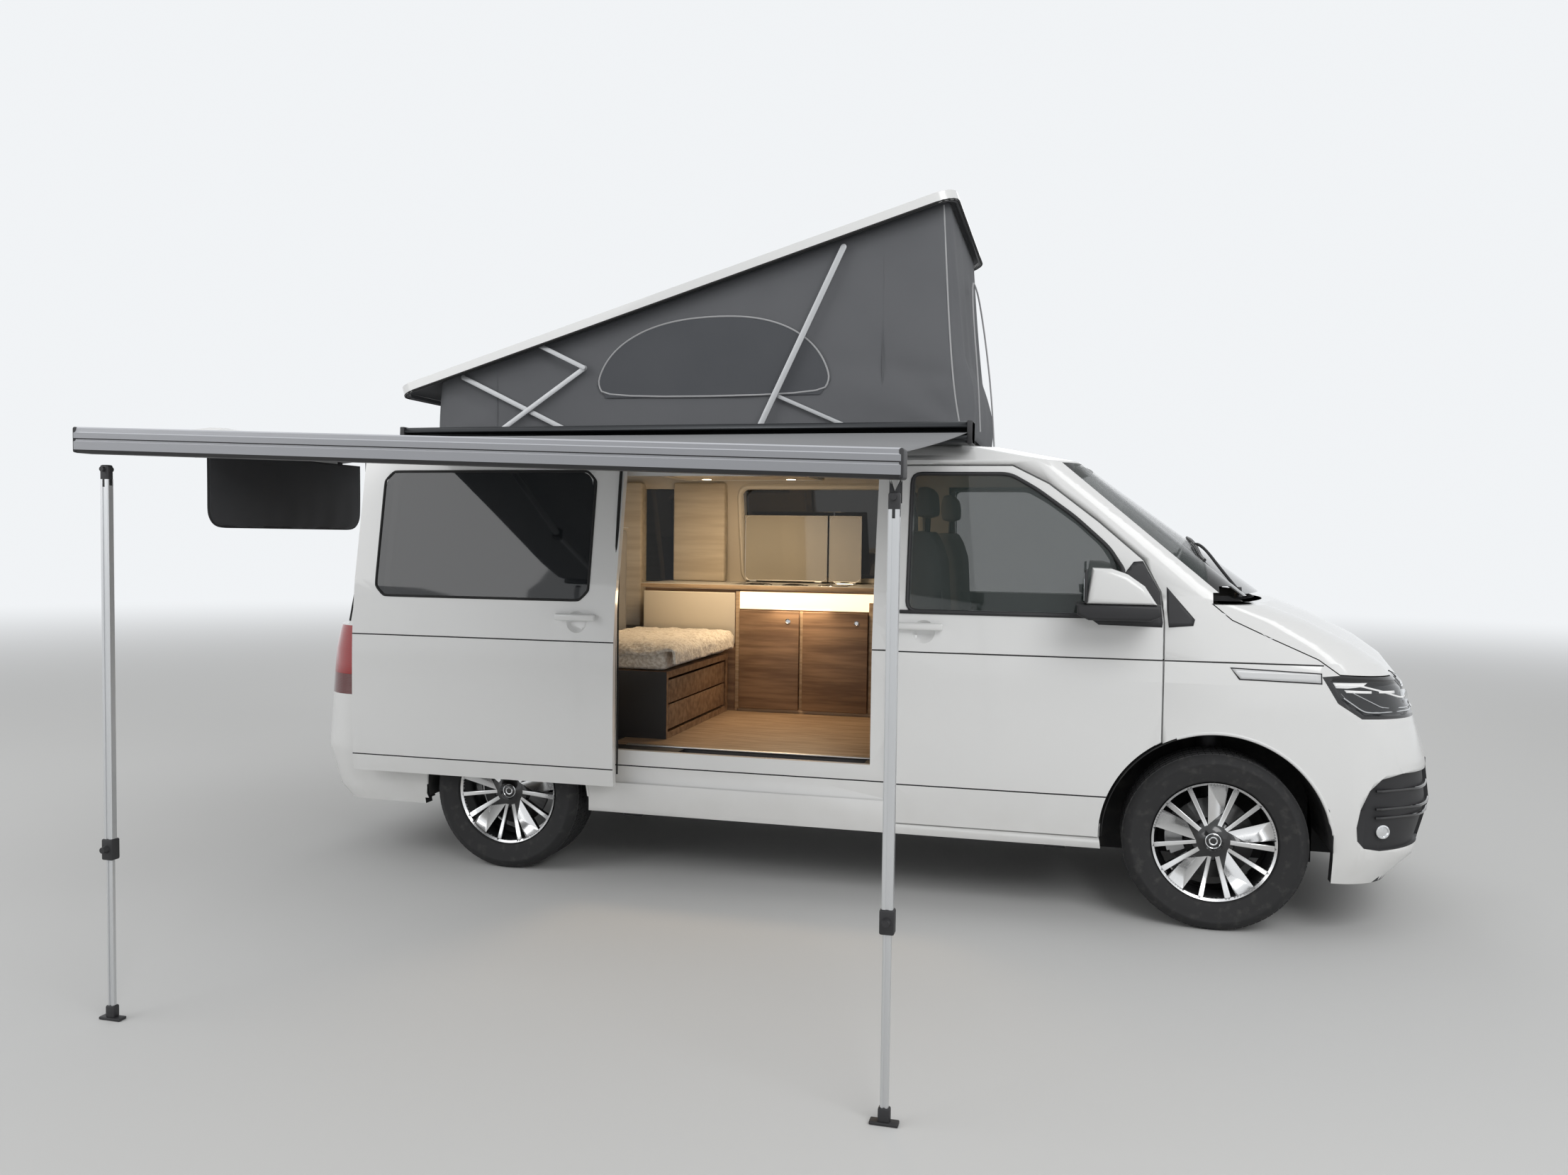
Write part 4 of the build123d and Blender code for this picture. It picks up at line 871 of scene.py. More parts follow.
TRIMMED, LINED = ("white_paint", "black_trim", "black_trim"), ("white_paint", "light_lining", "black_trim")
PANEL_RULES = {
    "wings": (flank_rule, TRIMMED),
    "bonnet": (under_rule(0.3), ("white_paint", "black_trim", "black_steel")),
    "bumpers": (nose_rule, TRIMMED),
    "tailgate": (under_rule(0.25), TRIMMED),
    "side_panel_left": (flank_rule, LINED),
    "side_panel_right": (flank_rule, LINED),
    "sliding_door": (flank_rule, LINED),
    "front_door_left": (flank_rule, TRIMMED),
    "front_door_right": (flank_rule, TRIMMED),
    "grille": (under_rule(0.3), ("gloss_black", "gloss_black", "black_trim")),
    "roof_panel": (flank_rule, LINED),
}
for node, (rule, finishes) in PANEL_RULES.items():
    panel = merged(node)
    if node.startswith("front_door"):
        old_mirror = [face for face in panel.faces if abs((face.calc_center_median() - MIDDLE).y) > 0.95]
        bmesh.ops.delete(panel, geom=old_mirror, context="FACES")
    panel.normal_update()
    press_panel(node, panel)
    panel.normal_update()
    for face in panel.faces:
        face.material_index = rule(face, face.calc_center_median() - MIDDLE, face.normal)
    made = piece(node + "_panel", panel, finishes, owner(node), (node,), 24, outwards=False)
    made.modifiers.new("weight", "WEIGHTED_NORMAL").keep_sharp = True
print(len(PANEL_RULES), "smooth panels")

# %% [markdown]
# The door handles are body-coloured bars on two posts over a round hollow. The mirrors have a
# painted cap on a black base, and their glass looks back. Both are separate mouldings on the real
# van, so they are new pieces that ride on their doors.

# %% Handles and mirrors
def door_handle(name, x, skin, body):
    """Bar handle beside a door, whose skin has this Y."""
    bars = bmesh.new()
    side, out = math.copysign(1, skin), abs(skin)
    side_block(bars, side, (x - 0.093, out + 0.012, 1.135), (x + 0.093, out + 0.034, 1.165), 0.008, 3)
    for post in (x - 0.075, x + 0.075):
        side_block(bars, side, (post - 0.014, out - 0.012, 1.141), (post + 0.014, out + 0.018, 1.159), 0.003)
    piece(name, bars, "white_paint", body)


MIRROR_CAP = [(1.0, 1.268), (1.256, 1.268), (1.21, 1.338), (1.15, 1.38), (1.09, 1.401), (1.02, 1.403)]
MIRROR_BASE = [(0.964, 1.266), (0.968, 1.226), (1.01, 1.206), (1.232, 1.208), (1.274, 1.226), (1.27, 1.266)]
for name, side in SIDES.items():
    door = f"door_{name}"
    door_handle(f"handle_{name}", 0.352, skin_at(f"front_door_{name}", 0.352, 1.17, side), door)
    cap, base, glass = bmesh.new(), bmesh.new(), bmesh.new()
    plate(cap, MIRROR_CAP, 1, *sorted((side * 0.968, side * 1.1485)), 0.024, 5)
    piece(f"mirror_cap_{name}", cap, "white_paint", door, sharp=50)
    plate(base, MIRROR_BASE, 1, *sorted((side * 0.958, side * 1.14)), 0.012, 3)
    side_block(base, side, (1.09, 0.926, 1.212), (1.23, 0.972, 1.256), 0.008)
    side_block(base, side, (0.992, 0.972, 1.27), (1.004, 1.144, 1.394), 0.004)
    piece(f"mirror_base_{name}", base, "black_trim", door, sharp=50)
    side_block(glass, side, (0.9905, 0.982, 1.279), (0.9935, 1.134, 1.385), 0.001)
    piece(f"mirror_glass_{name}", glass, "mirror_glass", door)
SLIDING_START = 1.1
door_handle("handle_sliding", -1.118, skin_at("sliding_door", -1.118, 1.17, -1, SLIDING_START), "body")

# %% [markdown]
# Each window opening has round corners. The CAD openings have square ones, so a small painted
# gusset lies over the glass in each corner and follows its curve.


# %% Window corners
def gusset(mesh, node, corner, toward, radius, side, start):
    """Painted corner between two straight edges and an arc, on the glass beside the van."""
    centre = (corner[0] + toward[0] * radius, corner[1] + toward[1] * radius)
    turn = math.degrees(math.atan2(-toward[1], -toward[0]))
    verts = []
    for x, z in [corner] + arc(centre, radius, turn - 45, turn + 45, 8):
        y = skin_at(node, x + toward[0] * 0.004, z + toward[1] * 0.004, side, start)
        verts.append(mesh.verts.new(at(x, y + side * 0.0012, z)))
    drawn_out(mesh, verts, Vector((0, -side * 0.003, 0)))


WINDOW_TOP, WINDOW_CORNER = 1.775, 0.055
FLANK_WINDOWS = (("rear_right", -2.09, -1.085, 1.235, -1, 0.97),
                 ("rear_left", -2.09, -1.085, 1.235, 1, 0.97),
                 ("middle_left", -0.905, 0.095, 1.235, 1, 0.97),
                 ("sliding", -2.095, -1.075, 1.225, -1, SLIDING_START))
for name, left, right, low, side, start in FLANK_WINDOWS:
    corners = bmesh.new()
    for x, toward_x in ((left, 1), (right, -1)):
        for z, toward_z in ((low, 1), (WINDOW_TOP, -1)):
            gusset(corners, "body_glass", (x, z), (toward_x, toward_z), WINDOW_CORNER, side, start)
    piece(f"window_corners_{name}", corners, "white_paint")
print("round corners on", len(FLANK_WINDOWS), "windows")

# %% [markdown]
# ## The raised roof
# The tent is one fabric band round the opening in the roof, fixed to the body below and to the
# lid above. It is made from a flat grid: the long side of the grid runs round the opening, the
# short side goes up, and each point is then moved to its place. Cloth that is pulled up by one
# end shows long shallow folds from its corners, and it bulges where the front corner is slack.

# %% The plan of the tent
TENT_REAR, TENT_FRONT = -2.045, 0.505
TENT_SIDE = 0.6
TENT_FOOT = 1.946
TENT_CORNER = 0.05
LID_REAR = Vector((-2.205, 2.15))
LID_FRONT = Vector((0.44, 2.944))
LID_SLOPE = (LID_FRONT.y - LID_REAR.y) / (LID_FRONT.x - LID_REAR.x)
TENT_GRID = (300, 36)


def lid_height(x):
    """Height of the tent's upper edge, a little above the lid's lower edge."""
    return LID_REAR.y + (x - LID_REAR.x) * LID_SLOPE + 0.019


def round_the_tent(share):
    """Point of the plan and its outward direction, a share of the way round."""
    straight_x = TENT_FRONT - TENT_REAR - 2 * TENT_CORNER
    straight_y = 2 * (TENT_SIDE - TENT_CORNER)
    quarter = math.pi * TENT_CORNER / 2
    runs = (straight_x, quarter, straight_y, quarter)
    left = share * 2 * sum(runs)
    flip = 1
    if left >= sum(runs):
        left, flip = left - sum(runs), -1
    middle = Vector(((TENT_REAR + TENT_FRONT) / 2, 0.0))
    if left < runs[0]:
        spot, out = Vector((-straight_x / 2 + left, -TENT_SIDE)), Vector((0, -1))
    elif left < runs[0] + quarter:
        turn = (left - runs[0]) / TENT_CORNER
        out = Vector((math.sin(turn), -math.cos(turn)))
        spot = Vector((straight_x / 2, -straight_y / 2)) + out * TENT_CORNER
    elif left < runs[0] + quarter + straight_y:
        spot, out = Vector((straight_x / 2 + TENT_CORNER, -straight_y / 2 + left - runs[0] - quarter)), Vector((1, 0))
    else:
        turn = (left - sum(runs[:3])) / TENT_CORNER
        out = Vector((math.cos(turn), math.sin(turn)))
        spot = Vector((straight_x / 2, straight_y / 2)) + out * TENT_CORNER
    return middle + spot * flip, out * flip


def fold(x, z, tip_x, tip_z, lean, width, depth):
    """Height of one long fold that runs from a corner of the cloth and dies out."""
    away = Vector((x - tip_x, z - tip_z))
    along = Vector((math.cos(lean), math.sin(lean)))
    reach = away.dot(along)
    if reach <= 0:
        return 0.0
    ridge = math.exp(-((away.cross(along) / (width * (0.3 + reach))) ** 2))
    return depth * ridge * math.exp(-reach / 0.55) * min(1, reach / 0.08)


SIDE_FOLDS = ((-1.98, 2.2, -0.5, 0.10, -0.012), (-1.98, 1.97, 0.35, 0.12, 0.010), (0.45, 1.99, 2.35, 0.10, -0.012),
              (0.36, 2.86, 4.25, 0.12, 0.012), (0.44, 2.2, 3.0, 0.09, -0.010), (0.47, 1.98, 2.8, 0.08, 0.009),
              (-0.4, 2.66, 4.5, 0.10, -0.008), (-1.3, 2.38, 4.6, 0.10, 0.007))
FRONT_LEAN = 0.1085


def tent_point(share, up):
    """Place of one point of the tent."""
    spot, out = round_the_tent(share % 1.0)
    top_x = spot.x + (0.017 if spot.x < -1 else -FRONT_LEAN * max(0.0, (spot.x - 0.2) / 0.305))
    x = spot.x + (top_x - spot.x) * up
    z = TENT_FOOT + (lid_height(top_x) - TENT_FOOT) * up
    slack = math.sin(math.pi * up)
    bulge = -0.006 * slack
    if out.x > 0.5:
        bulge += 0.03 * math.sin(math.pi * min(1.0, up / 0.35)) * out.x
        bulge += 0.006 * math.sin(spot.y * 21) * slack
    if out.x < -0.5:
        bulge += 0.01 * slack
    if abs(out.y) > 0.5:
        bulge += sum(fold(x, z, *each) for each in SIDE_FOLDS) * abs(out.y)
    hem = min(1.0, up / 0.03, (1 - up) / 0.02 + 0.2)
    return at(x + out.x * bulge * hem, spot.y + out.y * min(bulge, 0.005) * hem, z)


# %% The tent
tent = sheet(*TENT_GRID, tent_point)
bmesh.ops.remove_doubles(tent, verts=tent.verts, dist=0.0005)
wall = thicken(piece("tent_walls", tent, "tent_cloth", stands_for=("poptop_bellows",), sharp=60), 0.0008)
TENT_ROUND = 2 * (TENT_FRONT - TENT_REAR + 2 * TENT_SIDE)
TENT_TALLEST = lid_height(0.4) - TENT_FOOT
TENT_TALL = (lid_height(TENT_REAR) + lid_height(TENT_FRONT - FRONT_LEAN)) / 2 - TENT_FOOT
TENT_ROUND * TENT_TALL
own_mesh(wall)
print("tent cloth", round(TENT_ROUND, 2), "m round and up to", round(TENT_TALLEST, 2), "m tall")

# %% [markdown]
# Each side has a half-moon window of fine mesh, closed by a zip whose pale tape is the only
# bright line on the cloth. The tape follows the cloth, so it is a thin wire along the outline.

# %% Half-moon windows, seams and tapes
MOON_LEFT, MOON_RIGHT = -1.215, -0.105
MOON_FOOT, MOON_TOP = 2.135, 2.492
MOON_PEAK = -0.62


def half_moon(steps=14):
    """Outline of the window, from its lower right corner round to its lower left."""
    line = [(MOON_RIGHT - 0.05, MOON_FOOT)]
    for step in range(steps + 1):
        turn = math.radians(8 + 164 * step / steps)
        reach = (MOON_RIGHT - MOON_PEAK) if math.cos(turn) > 0 else (MOON_PEAK - MOON_LEFT)
        line.append((MOON_PEAK + reach * abs(math.cos(turn)) ** 0.86 * math.copysign(1, math.cos(turn)),
                     MOON_FOOT + (MOON_TOP - MOON_FOOT) * math.sin(turn) ** 0.9))
    return line + [(MOON_LEFT + 0.05, MOON_FOOT)]


CORNER_TAPE = ((0.482, 1.95), (0.462, 2.03), (0.437, 2.2), (0.418, 2.42), (0.405, 2.62), (0.394, 2.8), (0.386, 2.93))
FRONT_TAPE = ((0.531, 0.42, 1.98), (0.518, 0.41, 2.2), (0.486, 0.36, 2.48), (0.462, 0.2, 2.68))
for name, side in SIDES.items():
    window, tapes, seams = bmesh.new(), bmesh.new(), bmesh.new()
    plate(window, half_moon(), 1, side * (TENT_SIDE + 0.0012), side * (TENT_SIDE + 0.0024))
    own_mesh(piece(f"tent_window_{name}", window, "window_mesh"))
    wire(tapes, [(x, side * (TENT_SIDE + 0.002), z) for x, z in half_moon()], 0.0042, closed=True, sides=2)
    wire(tapes, [(x - 0.012, side * (TENT_SIDE - 0.005), z) for x, z in CORNER_TAPE], 0.0038, sides=2)
    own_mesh(piece(f"tent_tapes_{name}", tapes, "piping_cloth"))
    for x in (-1.72, 0.12):
        tall = lid_height(x) - 0.02 - TENT_FOOT
        wire(seams, [(x, side * (TENT_SIDE - 0.004), TENT_FOOT + tall * step / 6) for step in range(7)],
             0.0022, sides=1)
    wire(seams, [(x, side * (TENT_SIDE + 0.001), TENT_FOOT + 0.012) for x in (-1.98, -1.2, -0.4, 0.44)],
         0.006, sides=2)
    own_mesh(piece(f"tent_seams_{name}", seams, "tent_cloth"))
front_tape = bmesh.new()
wire(front_tape, [*((x, -y, z) for x, y, z in FRONT_TAPE), (0.455, 0.0, 2.72), *reversed(FRONT_TAPE)],
     0.0042, sides=2)
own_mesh(piece("tent_front_tape", front_tape, "piping_cloth"))

# %% [markdown]
# The lid is a light moulded shell, white above with a dark rim round its underside. Its CAD
# solid has the true outline, so a merged copy gets rounded upper edges, and the rim is added.

# %% The lid
LID_LENGTH = (LID_FRONT - LID_REAR).length
LID_TURN = math.atan(LID_SLOPE)
LID_HALF = 0.672
LID_TALL = 0.046


def on_lid(along, y, above):
    """Point of the open lid from its rear lower edge."""
    spot = LID_REAR + Matrix.Rotation(LID_TURN, 2) @ Vector((along, above))
    return (spot.x, y, spot.y)


shell = merged("poptop_roof")
lid_up = Vector((-math.sin(LID_TURN), 0, math.cos(LID_TURN)))
top_edges = [edge for edge in sharper(shell, 0.6)
             if all(abs((vert.co - at(*on_lid(0, 0, LID_TALL))).dot(lid_up)) < 0.002 for vert in edge.verts)]
soften(shell, top_edges, 0.02, 5, clamp=True)
rim_height = at(*on_lid(0, 0, 0.0085)).dot(lid_up)
for face in shell.faces:
    if face.calc_center_median().dot(lid_up) < rim_height or face.normal.dot(lid_up) < -0.5:
        face.material_index = 1
piece("lid_shell", shell, ("white_paint", "rim_grey"), "roof", ("poptop_roof",), 30, outwards=False)
rim = bmesh.new()
outline = rounded((0.004, 0.004 - LID_HALF), (LID_LENGTH - 0.004, LID_HALF - 0.004), 0.086)
wire(rim, [on_lid(along, y, 0.004) for along, y in outline], 0.0062, closed=True, smooth=False)
piece("lid_seal", rim, "door_seal", "roof")
print("the lid is", round(LID_LENGTH, 2), "m long and leans", round(math.degrees(LID_TURN), 1), "degrees")

# %% [markdown]
# The lid's arms are pressed aluminium, each hollow channel with a rounded edge and a pin with a
# broad head at both ends. Edges sharper than about 70 degrees are the ones that get rounded.

# %% The lid's arms
CRISP = 1.2
for node in ("roof_rear_arms_long", "roof_rear_arms_cross", "roof_rear_arms_short", "roof_front_arms",
             "roof_front_stays"):
    arms = merged(node)
    soften(arms, sharper(arms, CRISP), 0.0018, clamp=True)
    piece(node + "_pressed", arms, "arm_metal", owner(node), (node,), 40, outwards=False)

# %% [markdown]
# ## The awning
# The cloth is one stretched sheet between the roller in the case and the lead rail. Two sprung
# arms push the rail out, so the cloth is taut, with only a slight belly between the arms.

# %% The awning's sizes
RAIL_REAR, RAIL_FRONT = -1.955, 0.549
RAIL_FACE, RAIL_BACK = -2.7945, -2.722
RAIL_RISE = (1.690 - 1.768) / (RAIL_FRONT - RAIL_REAR)
CLOTH_FRONT = 0.518
CLOTH_ROLLER = Vector((-0.801, 1.946))
CLOTH_BELLY = 0.007


def rail_middle(x):
    """Height of the lead rail's middle."""
    return 1.768 + (x - RAIL_REAR) * RAIL_RISE


def extrusion(mesh, profile, start, end, lift=0.0):
    """Straight aluminium section along the van: the profile is pairs of Y and Z."""
    drawn_out(mesh, [mesh.verts.new(at(start, y, z)) for y, z in profile], (end - start, 0, lift))


# %% The awning's cloth
def cloth_point(across, out):
    """Point of the cloth: a share along the van and a share of the way out."""
    x = RAIL_REAR + (CLOTH_FRONT - RAIL_REAR) * across
    outer = Vector((RAIL_BACK - 0.004, rail_middle(x) + 0.026))
    spot = CLOTH_ROLLER.lerp(outer, out)
    belly = CLOTH_BELLY * math.sin(math.pi * out) * (0.6 + 0.4 * math.cos(4 * math.pi * across))
    pull = 0.0012 * math.sin(70 * across) * math.sin(math.pi * out) ** 2
    return at(x, spot.x, spot.y - belly + pull)


cloth = sheet(72, 48, cloth_point)
awning_sheet = thicken(piece("awning_sheet", cloth, "awning_cloth", stands_for=("awning_canopy",), sharp=60), 0.0012)
CLOTH_OUT = (cloth_point(0.5, 1.0) - cloth_point(0.5, 0.0)).length
print("awning cloth", round(CLOTH_FRONT - RAIL_REAR, 2), "by", round(CLOTH_OUT, 2), "m")

# %% [markdown]
# The case, the lead rail and the arms are one CAD node. Here they part again: the case keeps its
# CAD shape, the rail becomes a drawn section with a lip and two grooves, and the arms stay bare
# metal with a jointed elbow. Faces are sorted by how far out they lie.

# %% The awning's case and arms
frame_copy = merged("awning_frame")
rail_faces = []
for face in frame_copy.faces:
    spot = face.calc_center_median() - MIDDLE
    if spot.y < RAIL_BACK + 0.004 and spot.z > 1.63:
        rail_faces.append(face)
    elif spot.y <= -2.72:
        face.material_index = 2
    elif spot.y < -0.886 and spot.z < 1.915:
        face.material_index = 1
bmesh.ops.delete(frame_copy, geom=rail_faces, context="FACES")
piece("awning_case", frame_copy, ("dark_rail", "arm_metal", "black_trim"), "body", ("awning_frame",), 30,
      outwards=False)
case_trim = bmesh.new()
for x in (-2.06, 0.518):
    block(case_trim, (x, -0.882, 1.891), (x + 0.022, -0.768, 1.986), 0.004)
for z in (1.934, 1.906):
    extrusion(case_trim, [(-0.8815, z), (-0.879, z + 0.003), (-0.879, z - 0.003)], -2.03, 0.51)
piece("awning_case_ends", case_trim, "black_trim")

# %% The awning's lead rail
RAIL_SECTION = ((-2.7945, -0.030), (-2.7945, -0.006), (-2.7915, -0.003), (-2.7915, 0.001), (-2.7945, 0.004),
                (-2.7945, 0.020), (-2.792, 0.0225), (-2.789, 0.034), (-2.782, 0.038), (-2.737, 0.038),
                (-2.724, 0.031), (-2.722, 0.020), (-2.722, -0.034), (-2.728, -0.040), (-2.784, -0.040))
CAP = 0.006
rail_mesh = bmesh.new()
start_z = rail_middle(RAIL_REAR + CAP)
extrusion(rail_mesh, [(y, start_z + z) for y, z in RAIL_SECTION], RAIL_REAR + CAP, RAIL_FRONT - CAP,
          RAIL_RISE * (RAIL_FRONT - RAIL_REAR - 2 * CAP))
bmesh.ops.recalc_face_normals(rail_mesh, faces=rail_mesh.faces)
# Faces that look up get the lighter rail finish, a painted highlight; faces that look down get black as painted
# shade, and the end faces get black too.
for face in rail_mesh.faces:
    if face.normal.z > 0.6:
        face.material_index = 1
    elif face.normal.z < -0.6 or abs(face.normal.x) > 0.9:
        face.material_index = 2
piece("awning_rail", rail_mesh, ("rail_grey", "rail_light", "black_trim"), "body", sharp=28)
rail_ends = bmesh.new()
for x, low in ((RAIL_REAR, RAIL_REAR), (RAIL_FRONT, RAIL_FRONT - 2 * CAP)):
    block(rail_ends, (low, RAIL_FACE, rail_middle(x) - 0.0395), (low + 2 * CAP, RAIL_BACK, rail_middle(x) + 0.0375),
          0.006, 3)
piece("awning_rail_ends", rail_ends, "black_trim")

# %% [markdown]
# Each leg is two square tubes, one sliding in the other, with a clamp where they meet, a knuckle
# at the top and a foot. The upper tube is drawn with a groove down its face.

# %% The awning's legs
LEG_ACROSS = {"rear": -1.866, "front": 0.523}
LEG_OUT = -2.7575
LEG_STEP = 0.53
LEG_DROP = 0.085


def tube_section(x, half_x, half_y, groove, cut=0.003, deep=0.002):
    """Outline in X and Y of a square tube with cut corners and a shallow groove in its outer face."""
    right = [(groove, deep - half_y), (groove, -half_y), (half_x - cut, -half_y), (half_x, cut - half_y),
             (half_x, half_y - cut), (half_x - cut, half_y)]
    left = [(-across, out) for across, out in reversed(right)]
    return [(x + across, LEG_OUT + out) for across, out in right + left]


for place, x in LEG_ACROSS.items():
    name = f"awning_leg_{place}"
    top = rail_middle(x) - LEG_DROP
    tubes, fittings = bmesh.new(), bmesh.new()
    plate(tubes, tube_section(x, 0.015, 0.012, 0.004), 2, LEG_STEP, top - 0.03)
    plate(tubes, tube_section(x, 0.011, 0.008, 0.003), 2, 0.012, LEG_STEP + 0.02)
    piece(name + "_tubes", tubes, "aluminium", owner(name), (name,), 30)
    for half_x, half_y, low, high, round_off, segments in (
            (0.0195, 0.0165, LEG_STEP - 0.035, LEG_STEP + 0.03, 0.005, 2),
            (0.015, 0.0118, top - 0.055, top + 0.013, 0.006, 3),
            (0.038, 0.015, 0.0, 0.009, 0.003, 2), (0.016, 0.012, 0.007, 0.045, 0.005, 2)):
        block(fittings, *centred(x, LEG_OUT, half_x, half_y, low, high), round_off, segments)
    bar(fittings, (x, LEG_OUT - 0.034, LEG_STEP), (x, LEG_OUT - 0.016, LEG_STEP), 0.009, tip=0.012)
    bar(fittings, (x, LEG_OUT - 0.0205, top), (x, LEG_OUT + 0.0205, top), 0.0075)
    piece(name + "_fittings", fittings, "black_trim", owner(name), sharp=30)
print("the legs are", [round(rail_middle(x) - LEG_DROP, 2) for x in LEG_ACROSS.values()], "m tall")

# %% [markdown]
# Sprung arms have a cast elbow and a cable drum near it. The elbow gets its cap here, and each
# arm a hinge shoe where it meets the rail.

# %% Arm fittings
shoes = bmesh.new()
for x, lean in ((-1.56, -1), (0.06, 1)):
    elbow = (x + lean * 0.055, -1.8)
    bar(shoes, (*elbow, 1.771), (*elbow, 1.820), 0.028, steps=28)
    bar(shoes, (*elbow, 1.818), (*elbow, 1.826), 0.018, tip=0.014, steps=24)
    tip = x + lean * 0.02
    high = rail_middle(tip) - 0.002
    block(shoes, (tip - 0.028, -2.724, high - 0.036), (tip + 0.028, -2.69, high), 0.005)
    block(shoes, (x - 0.03, -0.905, 1.862), (x + 0.03, -0.84, 1.9), 0.006)
piece("awning_arm_joints", shoes, "black_trim", sharp=30)

# %% [markdown]
# ## Wheels
# The wheel is cast, painted black all over, and then its face is turned on a lathe, which leaves
# bright metal only on the flat tops of the spokes and on the outer lip. The CAD wheel has that
# shape, so a merged copy gets two finishes by where each face looks, and softened spoke edges.

# %% Wheels
WHEELS = {f"{end}_{side}": (x, sign) for end, x in (("front", 1.5), ("rear", -1.5)) for side, sign in SIDES.items()}
WHEEL_OUT = 0.814
DISC = (0.158, -0.007, 0.0145)
CAP_PROFILE = ((0.0, 0.0795), (0.012, 0.0792), (0.024, 0.0775), (0.0262, 0.076), (0.0262, 0.070), (0.0, 0.070))
RING_PROFILES = (((0.0262, 0.071), (0.0268, 0.0775), (0.0282, 0.0785), (0.0302, 0.0775), (0.0312, 0.071)),
                 ((0.012, 0.0793), (0.0135, 0.0802), (0.0155, 0.0802), (0.017, 0.0788)))


def wheel_place(spot, x, sign):
    """Distance from the wheel's middle and distance along its axle, outwards."""
    local = spot - at(x, sign * WHEEL_OUT, TYRE_RADIUS)
    return math.hypot(local.x, local.z), local.y * sign


for name, (x, sign) in WHEELS.items():
    node = f"rim_{name}"
    rim = merged(node)
    spokes = []
    for edge in sharper(rim, CRISP):
        radius, along = wheel_place((edge.verts[0].co + edge.verts[1].co) / 2, x, sign)
        if edge.calc_length() > 0.12 and 0.09 < radius < 0.2 and along > 0.055:
            spokes.append(edge)
    soften(rim, spokes, 0.0016, 1, clamp=True)
    rim.normal_update()
    for face in rim.faces:
        radius, along = wheel_place(face.calc_center_median(), x, sign)
        if radius < DISC[0] + 0.001 and DISC[1] - 0.001 < along < DISC[2] + 0.008:
            face.material_index = 2
        elif (face.normal.y * sign > 0.9 and along > 0.062 and radius > 0.083) or (radius > 0.221 and along > 0.085):
            face.material_index = 1
    piece(node + "_turned", rim, ("alloy_black", "alloy_cut", "bare_steel"), owner(node), (node,), 30, outwards=False)
    middle, out = (x, sign * WHEEL_OUT, TYRE_RADIUS), (0, sign, 0)
    cap, ring = bmesh.new(), bmesh.new()
    turned(cap, CAP_PROFILE, middle, out, 36)
    piece(f"wheel_cap_{name}", cap, "gloss_black", owner(node), sharp=40)
    for profile, steps in zip(RING_PROFILES, (36, 32)):
        turned(ring, profile, middle, out, steps)
    for bolt_x, bolt_z in arc((0.0, TYRE_RADIUS), 0.056, 44, 332, 4):
        spot = x + sign * bolt_x
        bar(ring, (spot, sign * (WHEEL_OUT + 0.056), bolt_z), (spot, sign * (WHEEL_OUT + 0.069), bolt_z), 0.0095,
            tip=0.0085, steps=6)
    piece(f"wheel_ring_{name}", ring, "chrome", owner(node), sharp=40)
print("four wheels,", len(spokes), "spoke edges softened on each")

# %% [markdown]
# A brake caliper shows between the front spokes. It doesn't turn with the wheel, so it rides on
# the knuckle.

# %% Brake calipers
def band(outer, inner, start, end):
    """Outline of a piece of a ring about the front axle."""
    lines = [arc((1.5, TYRE_RADIUS), radius, start, end, 8) for radius in (outer, inner)]
    return lines[0] + lines[1][::-1]


for side, sign in SIDES.items():
    caliper = bmesh.new()
    plate(caliper, band(0.168, 0.112, 150, 205), 1, sign * 0.785, sign * 0.806)
    plate(caliper, band(0.168, 0.112, 150, 205), 1, sign * 0.8305, sign * 0.846)
    plate(caliper, band(0.178, 0.162, 155, 200), 1, sign * 0.787, sign * 0.844)
    piece(f"brake_caliper_{side}", caliper, "bare_steel", owner(f"knuckle_{side}"), sharp=30)

# %% [markdown]
# A road tyre has broad ribs cut into blocks. One ring is spun from a profile with four grooves,
# then each tread face is inset and raised, which makes a block with thin cuts round it.

# %% Tyres
TREAD_STEPS = 84
BELT = TYRE_RADIUS - 0.0045
GROOVE = BELT - 0.005
TYRE_HALF = ((0.239, 0.087), (0.2345, 0.094), (0.240, 0.1035), (0.262, 0.1115), (0.283, 0.1155), (0.303, 0.1168),
             (0.306, 0.1182), (0.312, 0.1180), (0.318, 0.1135), (0.331, 0.106), (BELT, 0.091), (BELT, 0.066),
             (GROOVE, 0.064), (GROOVE, 0.057), (BELT, 0.055), (BELT, 0.024), (GROOVE, 0.022), (GROOVE, 0.013),
             (BELT, 0.011))
TYRE_RINGS = [(radius, -along) for radius, along in TYRE_HALF] + [*reversed(TYRE_HALF)]
for name, (x, sign) in WHEELS.items():
    tyre = bmesh.new()
    turned(tyre, TYRE_RINGS, (x, sign * WHEEL_OUT, TYRE_RADIUS), (0, sign, 0), TREAD_STEPS)
    bmesh.ops.recalc_face_normals(tyre, faces=tyre.faces)
    tread = [face for face in tyre.faces if wheel_place(face.calc_center_median(), x, sign)[0] > BELT - 0.002
             and abs(face.normal.y) < 0.2]
    bmesh.ops.inset_individual(tyre, faces=tread, thickness=0.0016, depth=0.0042, use_even_offset=True)
    piece(f"tyre_{name}_treaded", tyre, "tyre_rubber", owner(f"tyre_{name}"), (f"tyre_{name}",), 35)
print("tread blocks on each tyre:", len(tread))

# %% [markdown]
# ## Windows
# A car's window is a pane with a black printed border, set in rubber. The seals are thin tubes
# that follow the panel's skin, and the front pane gets its border in its finish.

